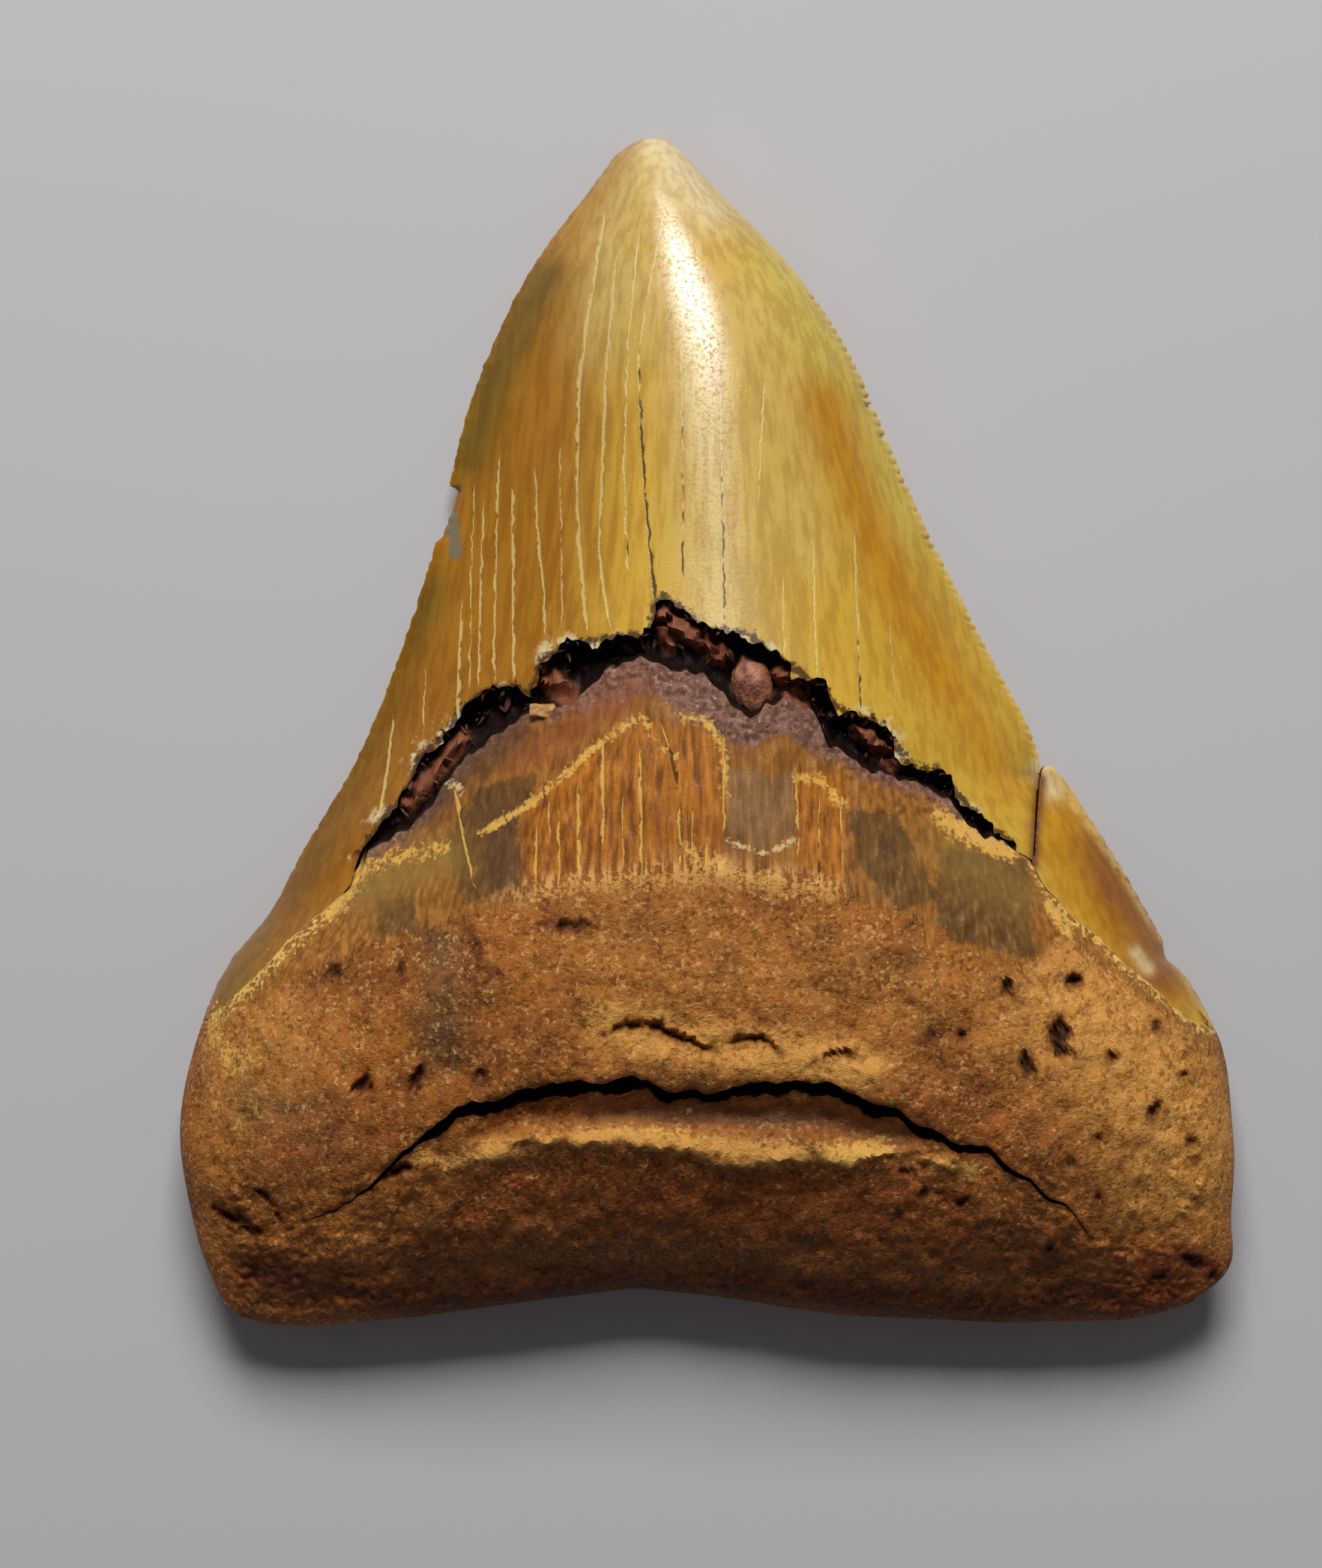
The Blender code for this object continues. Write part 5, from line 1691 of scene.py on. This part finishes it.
@dataclass(frozen=True)
class EnamelFinish:
    """Glossy, cracked fossil enamel."""

    effects: Effects
    body: Paint = srgb(224, 180, 66)
    # The centre colour is partly painted sheen around the highlight.
    centre: Paint = srgb(220, 187, 100)
    right: Paint = srgb(210, 170, 54)
    amber: Paint = srgb(208, 147, 3)
    green: Paint = srgb(218, 192, 78)
    olive: Paint = srgb(120, 96, 34)
    brown: Paint = srgb(179, 122, 30)
    deep: Paint = srgb(148, 90, 8)
    cream: Paint = srgb(232, 212, 160)
    pale: Paint = srgb(236, 208, 132)
    dark: Paint = srgb(46, 28, 14)
    # The next colour darkens the broken edge along the lip, partly as painted shade where the edge turns
    # down into the crevice.
    dark_lip_and_shade: Paint = srgb(66, 38, 18)
    chip: Paint = srgb(128, 122, 98)
    seam: Paint = srgb(124, 72, 34)
    # The torn colour darkens the broken walls, partly as painted shade inside the crevice and the shoulder
    # crack.
    torn: Paint = srgb(70, 36, 20)
    streak: Paint = srgb(234, 224, 206)
    cloud: Paint = srgb(244, 238, 226)

    def make(self) -> bpy.types.Material:
        """Builds the material."""
        material, graph = start_material("crown_enamel_gloss")
        place = graph.place()
        streaks = graph.noise(graph.place(along=0.04), 1.4, 4.0, 0.6)
        blotch = graph.noise(place, 0.16, 3.0, 0.5)
        mottle = graph.noise(place, 1.1, 4.0, 0.6)
        grain = graph.noise(place, 4.0, 4.0, 0.7)
        left, right, lip = (graph.mark(f"from_{side}") for side in ("left", "right", "lip"))
        across = left / graph.math("MAXIMUM", left + right, 0.1) + (streaks - 0.5) * 0.1
        # The pale centre stop along the crest is partly painted sheen.
        stops = ((0.0, self.brown), (0.24, self.brown), (0.42, self.body), (0.56, self.centre))
        colour = graph.ramp(across, (*stops, (0.72, self.body), (0.92, self.right)))
        uneven = 0.4 + blotch * 1.2
        for name in ("brown", "centre", "olive", "green", "amber", "deep", "cream", "seam"):
            share = graph.math("MULTIPLY", graph.mark(name), uneven, clamp=True)
            colour = colour.under(share, getattr(self, name))
        colour = colour.tinted(streaks.step(0.6, 0.38), self.streak)
        colour = colour.tinted(mottle.step(0.35, 0.7) * 0.4, self.cloud)
        chipped = graph.mark("chip") + (mottle - 0.5) * 1.2
        colour = colour.under(chipped.step(0.35, 0.75) * 0.9, self.chip)
        rim = right.step(0.9, 0.05) * mottle.step(0.3, 0.6)
        colour = colour.under(rim * 0.5, self.pale)
        near = lip.step(1.8, 0.2)
        somewhere = graph.noise(place, 0.3, 2.0).step(0.5, 0.62)
        crumbled = (mottle + near * 0.2).step(0.6, 0.72) * near * somewhere
        colour = colour.under(crumbled, self.cream)
        # A dark ragged edge along the lip, partly painted shade.
        edge = (lip + (graph.noise(place, 1.7, 3.0, 0.7) - 0.5) * 1.5).step(0.4, 0.1)
        colour = colour.under(edge * 0.9, self.dark_lip_and_shade)
        lines = graph.group(self.effects.hairlines, Place=place, Width=0.1)
        colour = colour.under(lines["Pale"] * 0.7, self.pale)
        colour = colour.under(lines["Dark"] * 0.85, self.dark)
        # The broken walls are darkened, partly as painted shade inside the crevice and the shoulder crack.
        torn = graph.mark("torn")
        colour = colour.under(torn.step(0.05, 0.3), self.torn)
        gloss = 0.12 + grain * 0.2 + torn * 0.5
        height = streaks * 0.25 + grain * 0.34 - lines["Any"] * 0.45
        shine = across.step(0.12, 0.36) * across.step(0.86, 0.62) * graph.mark("amber").step(0.8, 0.2)
        shine = shine * (0.3 + lip.step(2.0, 27.0) * 0.7)
        graph.finish(
            colour,
            gloss,
            height,
            0.4,
            Coat_Weight=shine * grain.step(0.36, 0.56),
            Coat_Roughness=0.37,
            Coat_IOR=2.4,
            Specular_IOR_Level=0.22,
            Subsurface_Weight=0.12,
            Subsurface_Radius=(1.0, 0.6, 0.2),
            Subsurface_Scale=0.001,
        )
        return material


@dataclass(frozen=True)
class RootFinish:
    """Granular, stained root dentine with a fibrous film of enamel left on its upper part, and painted
    light and shade in places.
    """

    effects: Effects
    deep: Paint = srgb(134, 76, 30)
    body: Paint = srgb(178, 107, 42)
    bright: Paint = srgb(240, 188, 112)
    speck: Paint = srgb(176, 150, 128)
    # The gold and yellow colours also paint the highlights on the ledge.
    gold: Paint = srgb(224, 162, 80)
    yellow: Paint = srgb(230, 178, 84)
    pale: Paint = srgb(220, 190, 138)
    grey: Paint = srgb(98, 76, 50)
    purple: Paint = srgb(128, 88, 68)
    red: Paint = srgb(160, 84, 38)
    rust: Paint = srgb(150, 82, 44)
    # light is painted light; shade is painted shade.
    light: Paint = srgb(226, 160, 76)
    shade: Paint = srgb(84, 40, 16)
    olive: Paint = srgb(152, 118, 56)
    dusk: Paint = srgb(82, 54, 38)
    tuft: Paint = srgb(226, 172, 104)
    # Painted shade: a darker red-brown on the broken step below the ledge, which faces away from the light.
    under_ledge: Paint = srgb(142, 72, 26)
    # The groove colour is painted shade, a brown halo around cracks and pits.
    groove: Paint = srgb(140, 104, 84)
    # The torn colour is the dark of fine cracks, and painted shade inside cracks and pits.
    torn: Paint = srgb(38, 19, 12)
    film: tuple[Paint, Paint] = (srgb(116, 70, 24), srgb(178, 116, 44))
    orange_panel: tuple[Paint, Paint] = (srgb(116, 58, 10), srgb(204, 124, 30))
    grey_panel: tuple[Paint, Paint] = (srgb(74, 50, 22), srgb(122, 86, 40))
    hex_panel: tuple[Paint, Paint] = (srgb(112, 76, 42), srgb(166, 120, 74))
    rind: tuple[Paint, Paint] = (srgb(104, 70, 54), srgb(140, 100, 82))
    rind_fleck: Paint = srgb(186, 140, 118)
    enamel_line: tuple[Paint, Paint] = (srgb(146, 98, 42), srgb(240, 194, 100))
    # The tissue colours paint shade deep in the crevice, running to a lighter red-brown where light falls
    # on the ridges' tops.
    tissue: tuple[Paint, Paint] = (srgb(30, 14, 9), srgb(142, 84, 58))

    def soft_stains_and_shading(self, graph: Graph, colour: Signal, mottle: Signal, names: Sequence[str]) -> Signal:
        """Lays the named soft-edged marks over a colour; light is painted light and shade is painted shade.
        """
        uneven = 1.0 + (mottle - 0.5) * 1.5
        for name in names:
            share = graph.math("MULTIPLY", graph.mark(name) * uneven, 0.9, clamp=True)
            colour = colour.under(share, getattr(self, name))
        return colour

    def crisp_stains_and_highlights(self, graph: Graph, colour: Signal, mottle: Signal, crumb: Signal) -> Signal:
        """Lays the crumbly gold, yellow and pale stains over a colour; along the ledge the gold and yellow
        are painted highlights.
        """
        ragged = (mottle - 0.5) * 1.4 + (crumb - 0.5) * 2.0
        for name in ("gold", "yellow", "pale"):
            stain = graph.mark(name)
            share = (stain + ragged).step(0.45, 1.0) * stain.step(0.02, 0.3)
            colour = colour.under(share * 0.9, getattr(self, name))
        return colour

    def film_colour(self, graph: Graph, place: Signal, fibre: Signal, mottle: Signal) -> Signal:
        """The colour of the fibrous film, with its orange and its grey panels."""
        colour = graph.blend(fibre.step(0.25, 0.75), *self.film)
        for name, sharp in (("orange_panel", 0.27), ("grey_panel", 0.4), ("hex_panel", 0.4)):
            patch = graph.group(
                self.effects.patch, Place=place, Inside=graph.mark(name), Ragged=0.7, Soft=0.18, Grains=1.3
            )
            tone = graph.blend(fibre.step(0.5 - sharp, 0.5 + sharp), *getattr(self, name))
            colour = colour.under(patch["Mask"] * 0.85, tone)
        tufts = fibre + mottle * 0.5
        return colour.under(tufts.step(0.84, 1.0) * 0.2, self.gold)

    def make(self) -> bpy.types.Material:
        """Builds the material."""
        material, graph = start_material("root_dentine_grain")
        place = graph.place()
        grit = graph.group(self.effects.grit, Place=place, Grains=3.6)
        blotch = graph.noise(place, 0.2, 5.0, 0.62)
        mottle = graph.noise(place, 1.3, 4.0, 0.65)
        crumb = graph.noise(place, 3.2, 2.0, 0.6)
        fibre = graph.noise(graph.place(along=0.07), 2.4, 3.0, 0.55)
        under_ledge = graph.mark("under_ledge")
        colour = graph.blend(blotch.step(0.3, 0.62), self.deep, self.body)
        # Painted light and painted shade are laid on with the grey and red stains.
        colour = self.soft_stains_and_shading(graph, colour, mottle, ("light", "shade", "grey", "red"))
        # Painted shade on the step below the ledge.
        colour = colour.under(under_ledge * 0.75, self.under_ledge)
        colour = colour.tinted((grit["Tone"] + blotch * 0.5).step(0.75, 0.2) * 0.75, self.speck)
        light = grit["Fleck"] * mottle.step(0.3, 0.65) * graph.mark("shade").step(1.0, 0.0)
        colour = colour.under(light * 0.7, self.bright)
        level = graph.mark("above_fringe")
        above = level + (fibre - 0.5) * 4.0
        film = graph.group(self.effects.patch, Place=place, Inside=above, Ragged=1.2, Soft=0.4, Grains=0.8)
        colour = colour.under(film["Mask"], self.film_colour(graph, place, fibre, mottle))
        tuft = level.step(-1.0, 0.3) * level.step(1.9, 0.4)
        tuft = tuft * (fibre + crumb * 0.5).step(0.7, 0.84) * graph.mark("tuft")
        colour = colour.under(tuft * 0.8, self.tuft)
        lip = graph.mark("from_lip") + (mottle - 0.5) * 3.0 - graph.mark("rind") * 2.0
        rind = graph.blend(grit["Tone"].step(0.2, 0.9), *self.rind)
        rind = rind.under(grit["Fleck"] * 0.6, self.rind_fleck)
        colour = colour.under(lip.step(1.2, 0.0), rind)
        line = graph.mark("enamel_line") + (crumb - 0.5) * 2.4
        crumbly = graph.blend(grit["Tone"].step(0.25, 0.8), *self.enamel_line)
        colour = colour.under(line.step(1.0, 0.3) * 0.9, crumbly)
        colour = self.soft_stains_and_shading(graph, colour, mottle, ("olive", "rust", "purple", "dusk"))
        # Below the ledge's broken edge, the crisp stains and painted highlights are left out.
        stained = self.crisp_stains_and_highlights(graph, colour, mottle, crumb)
        colour = stained.under(under_ledge.step(0.1, 0.6), colour)
        lines = graph.group(self.effects.hairlines, Place=place, Width=0.12)
        colour = colour.under(lines["Pale"] * 0.8, self.yellow)
        colour = colour.under(lines["Dark"] * 0.8, self.torn)
        # Painted shade: a brown halo round the cracks and pits, and near black inside them.
        gap = graph.mark("gap") + (crumb - 0.5) * 0.35
        colour = colour.tinted(gap.step(0.5, -0.05) * 0.6, self.groove)
        colour = colour.under(gap.step(0.1, -0.4) * 0.9, self.torn)
        # Painted shade in the crevice: dark in its low places, lighter on the tops of the tissue ridges
        # where light falls.
        raised = graph.mark("tissue") + (mottle - 0.5) * 0.9 + crumb * 0.8
        tissue = graph.blend(raised.step(0.7, 1.7), *self.tissue)
        colour = colour.under(graph.mark("torn").step(0.05, 0.5), tissue)
        gloss = 0.72 - grit["Fleck"] * 0.35 - film["Mask"] * 0.15
        height = grit["Height"] * (1.0 - film["Mask"] * 0.8) + fibre * film["Mask"] * 0.3
        height = height + tuft * 0.3 - lines["Any"] * 0.25
        graph.finish(colour, gloss, height, 0.85, Specular_IOR_Level=0.22)
        return material


@dataclass(frozen=True)
class StoneFinish:
    """Dull stone or torn tissue: two colours and a coarse grain."""

    effects: Effects
    name: str
    dark: Paint
    light: Paint
    grains: float
    roughness: float

    def make(self) -> bpy.types.Material:
        """Builds the material."""
        material, graph = start_material(self.name)
        place = graph.place()
        grit = graph.group(self.effects.grit, Place=place, Grains=self.grains)
        mottle = graph.noise(place, 0.9, 4.0, 0.65)
        colour = graph.blend(mottle.step(0.35, 0.65), self.dark, self.light)
        colour = colour.under(grit["Fleck"] * 0.4, self.light)
        graph.finish(colour, self.roughness - grit["Fleck"] * 0.15, grit["Height"], 0.7)
        return material


@dataclass
class LodgedGrain:
    """The elongated grain of stone wedged in the crevice."""

    form: ToothForm
    centre: tuple[float, float] = (3.0, 3.0)
    half_sizes: tuple[float, float, float] = (1.35, 2.1, 1.25)
    sink: float = 1.6
    turn: float = 14.0
    facets: int = 5
    facet_reach: tuple[float, float] = (0.82, 0.94)
    facet_cut: float = 0.9
    lump_height: float = 0.1
    seed: int = 5

    def build(self) -> bpy.types.Object:
        """Makes the grain."""
        deselect()
        bpy.ops.mesh.primitive_ico_sphere_add(subdivisions=5, radius=1.0)
        grain = bpy.context.object
        points = read_points(grain)
        chooser = np.random.default_rng(self.seed)
        for _ in range(self.facets):
            normal = chooser.normal(size=3)
            normal /= np.linalg.norm(normal)
            over = np.maximum(points @ normal - chooser.uniform(*self.facet_reach), 0)
            points -= np.outer(over, normal) * self.facet_cut
        lumps = rough(points[:, 0] + points[:, 2], points[:, 1] - points[:, 2], 0.7, 71.0)
        points *= 1 + self.lump_height * lumps[:, None]
        points *= self.half_sizes
        points = points @ turn_matrix((0.0, 0.0, math.radians(self.turn))).T
        z = self.form.height_at(*self.centre, Part.CROWN) - self.form.crown_step - self.sink
        write_points(grain, points + (*self.centre, z))
        return weld("lodged_grain_stone", [grain], 50)


@dataclass
class EnamelFlake:
    """A loose, brick-shaped flake of enamel that lies across the crevice's edge."""

    form: ToothForm
    centre: tuple[float, float] = (-11.1, 1.3)
    size: tuple[float, float, float] = (2.1, 0.85, 0.7)
    lift: float = 0.15
    worn_edge: float = 0.14
    side_bend: float = 0.25
    face_bend: float = 0.15

    def build(self) -> bpy.types.Object:
        """Makes the flake."""
        deselect()
        bpy.ops.mesh.primitive_cube_add(size=MM)
        flake = bpy.context.object
        bpy.ops.transform.resize(value=self.size)
        bpy.ops.object.transform_apply(location=False, rotation=False, scale=True)
        bevel = flake.modifiers.new("worn", "BEVEL")
        bevel.width = self.worn_edge * MM
        bevel.segments = 3
        bpy.ops.object.modifier_apply(modifier=bevel.name)
        bpy.ops.object.mode_set(mode="EDIT")
        bpy.ops.mesh.select_all(action="SELECT")
        bpy.ops.mesh.subdivide(number_cuts=5)
        bpy.ops.object.mode_set(mode="OBJECT")
        points = read_points(flake) / MM
        points[:, 1] += self.side_bend * rough(points[:, 0], points[:, 2], 0.6, 91.0)
        points[:, 2] += self.face_bend * rough(points[:, 0], points[:, 1], 0.5, 92.0)
        z = self.form.height_at(*self.centre, Part.ROOT) + self.lift
        write_points(flake, points + (*self.centre, z))
        return weld("enamel_flake", [flake], 40)


@dataclass
class TornTissue:
    """Ragged flakes of broken dentine that stand in the crevice."""

    form: ToothForm
    flakes: int = 200
    span: tuple[float, float] = (-21.0, 18.5)
    grain_x: float = 3.0
    grain_half: float = 2.3
    grain_skip: float = 5.0
    seed: int = 11

    def build(self) -> bpy.types.Object:
        """Makes one rough flake, and copies it along the crevice at many sizes and turns."""
        deselect()
        bpy.ops.mesh.primitive_ico_sphere_add(subdivisions=1, radius=1.0)
        first = bpy.context.object
        base = read_points(first)
        chooser = np.random.default_rng(self.seed)
        made = []
        for number in range(self.flakes):
            x = chooser.uniform(*self.span)
            x += self.grain_skip * (abs(x - self.grain_x) < self.grain_half)
            crown, root = straight(CROWN_MARGIN, x), straight(ROOT_MARGIN, x)
            at_lip = number % 2
            share = chooser.uniform(0.95, 1.08) if at_lip else chooser.uniform(0.2, 1.0)
            y = root + (crown - root) * share
            depth = chooser.uniform(0.45, 0.9) if at_lip else chooser.uniform(1.0, 2.4)
            depth = depth * np.clip((23 - abs(x)) / 8, 0.35, 1)
            size = chooser.uniform(0.12, 0.4)
            shape = base * chooser.uniform((0.9, 0.3, 0.15), (2.6, 0.7, 0.4)) * size
            ragged = rough(base[:, 0] * 2 + number, base[:, 1] * 2 + base[:, 2], 1.0, 81.0)
            shape *= 1 + 0.9 * ragged[:, None]
            shape = shape @ turn_matrix(chooser.uniform(0, 2 * math.pi, 3)).T
            flake = first
            if number:
                flake = first.copy()
                flake.data = first.data.copy()
                bpy.context.scene.collection.objects.link(flake)
            write_points(flake, shape + (x, y, self.form.height_at(x, y, Part.CROWN) - depth))
            made.append(flake)
        return weld("crevice_tissue", made, 25)


@dataclass
class Studio:
    """A plain pale floor, soft light from beyond the tip, and the camera above."""

    floor_size: float = 3.0
    floor_colour: Paint = srgb(196, 194, 196)
    floor_roughness: float = 0.8
    camera_place: tuple[float, float, float] = (-0.0032, -0.0037, 0.32)
    lens: float = 103.9
    sensor_width: float = 36.0
    clip_start: float = 0.01
    key_place: tuple[float, float, float] = (-0.012, 0.443, 0.475)
    key_size: float = 0.28
    key_power: float = 4.2
    sky: Paint = (0.60, 0.60, 0.63, 1.0)
    sky_strength: float = 0.15

    def build(self) -> None:
        """Makes the floor, the lights and the camera."""
        self.build_floor()
        self.build_lights()
        deselect()
        bpy.ops.object.camera_add(location=self.camera_place, rotation=(0, 0, 0))
        camera = bpy.context.object
        camera.data.lens = self.lens
        camera.data.sensor_width = self.sensor_width
        camera.data.clip_start = self.clip_start
        bpy.context.scene.camera = camera
        bpy.context.scene.view_settings.view_transform = "Standard"

    def build_floor(self) -> None:
        """Makes the floor."""
        deselect()
        bpy.ops.mesh.primitive_plane_add(size=self.floor_size)
        floor = bpy.context.object
        floor.name = "studio_floor"
        material, graph = start_material("pale_floor")
        shader = graph.tree.nodes["Principled BSDF"]
        graph.feed(shader, {"Base Color": self.floor_colour, "Roughness": self.floor_roughness})
        floor.data.materials.append(material)

    def build_lights(self) -> None:
        """Makes the dim sky and the key light, which is aimed at the tooth."""
        world = bpy.data.worlds.new("soft_sky")
        world.use_nodes = True
        background = world.node_tree.nodes["Background"]
        Graph(world.node_tree).feed(background, {"Color": self.sky, "Strength": self.sky_strength})
        bpy.context.scene.world = world
        deselect()
        bpy.ops.object.light_add(type="AREA", location=self.key_place)
        key = bpy.context.object
        key.name = "window_light"
        key.data.shape = "SQUARE"
        key.data.size = self.key_size
        key.data.energy = self.key_power
        aim = -np.array(self.key_place)
        aim /= np.linalg.norm(aim)
        key.rotation_mode = "XYZ"
        key.rotation_euler = (0.0, -math.acos(-aim[2]), math.atan2(aim[1], aim[0]))


def main() -> None:
    """Builds the tooth's pieces in order and dresses them."""
    logging.basicConfig(level=logging.INFO, format="%(name)s: %(message)s")
    form = ToothForm()
    effects = Effects()
    enamel = EnamelFinish(effects).make()
    settle(CrownEnamel(form).build(), "tooth", enamel)
    settle(ShoulderFragment(form).build(), "tooth", enamel)
    settle(RootBody(form).build(), "tooth", RootFinish(effects).make())
    tissue = StoneFinish(effects, "torn_tissue", srgb(46, 20, 14), srgb(122, 66, 46), 2.5, 0.75)
    settle(TornTissue(form).build(), "tooth", tissue.make())
    chip = StoneFinish(effects, "flake_enamel", srgb(170, 118, 54), srgb(212, 168, 100), 3.0, 0.55)
    settle(EnamelFlake(form).build(), "tooth", chip.make())
    stone = StoneFinish(effects, "grain_stone", srgb(108, 60, 42), srgb(188, 124, 94), 2.4, 0.45)
    settle(LodgedGrain(form).build(), "lodged_grain", stone.make())
    Studio().build()


if __name__ == "__main__":
    main()
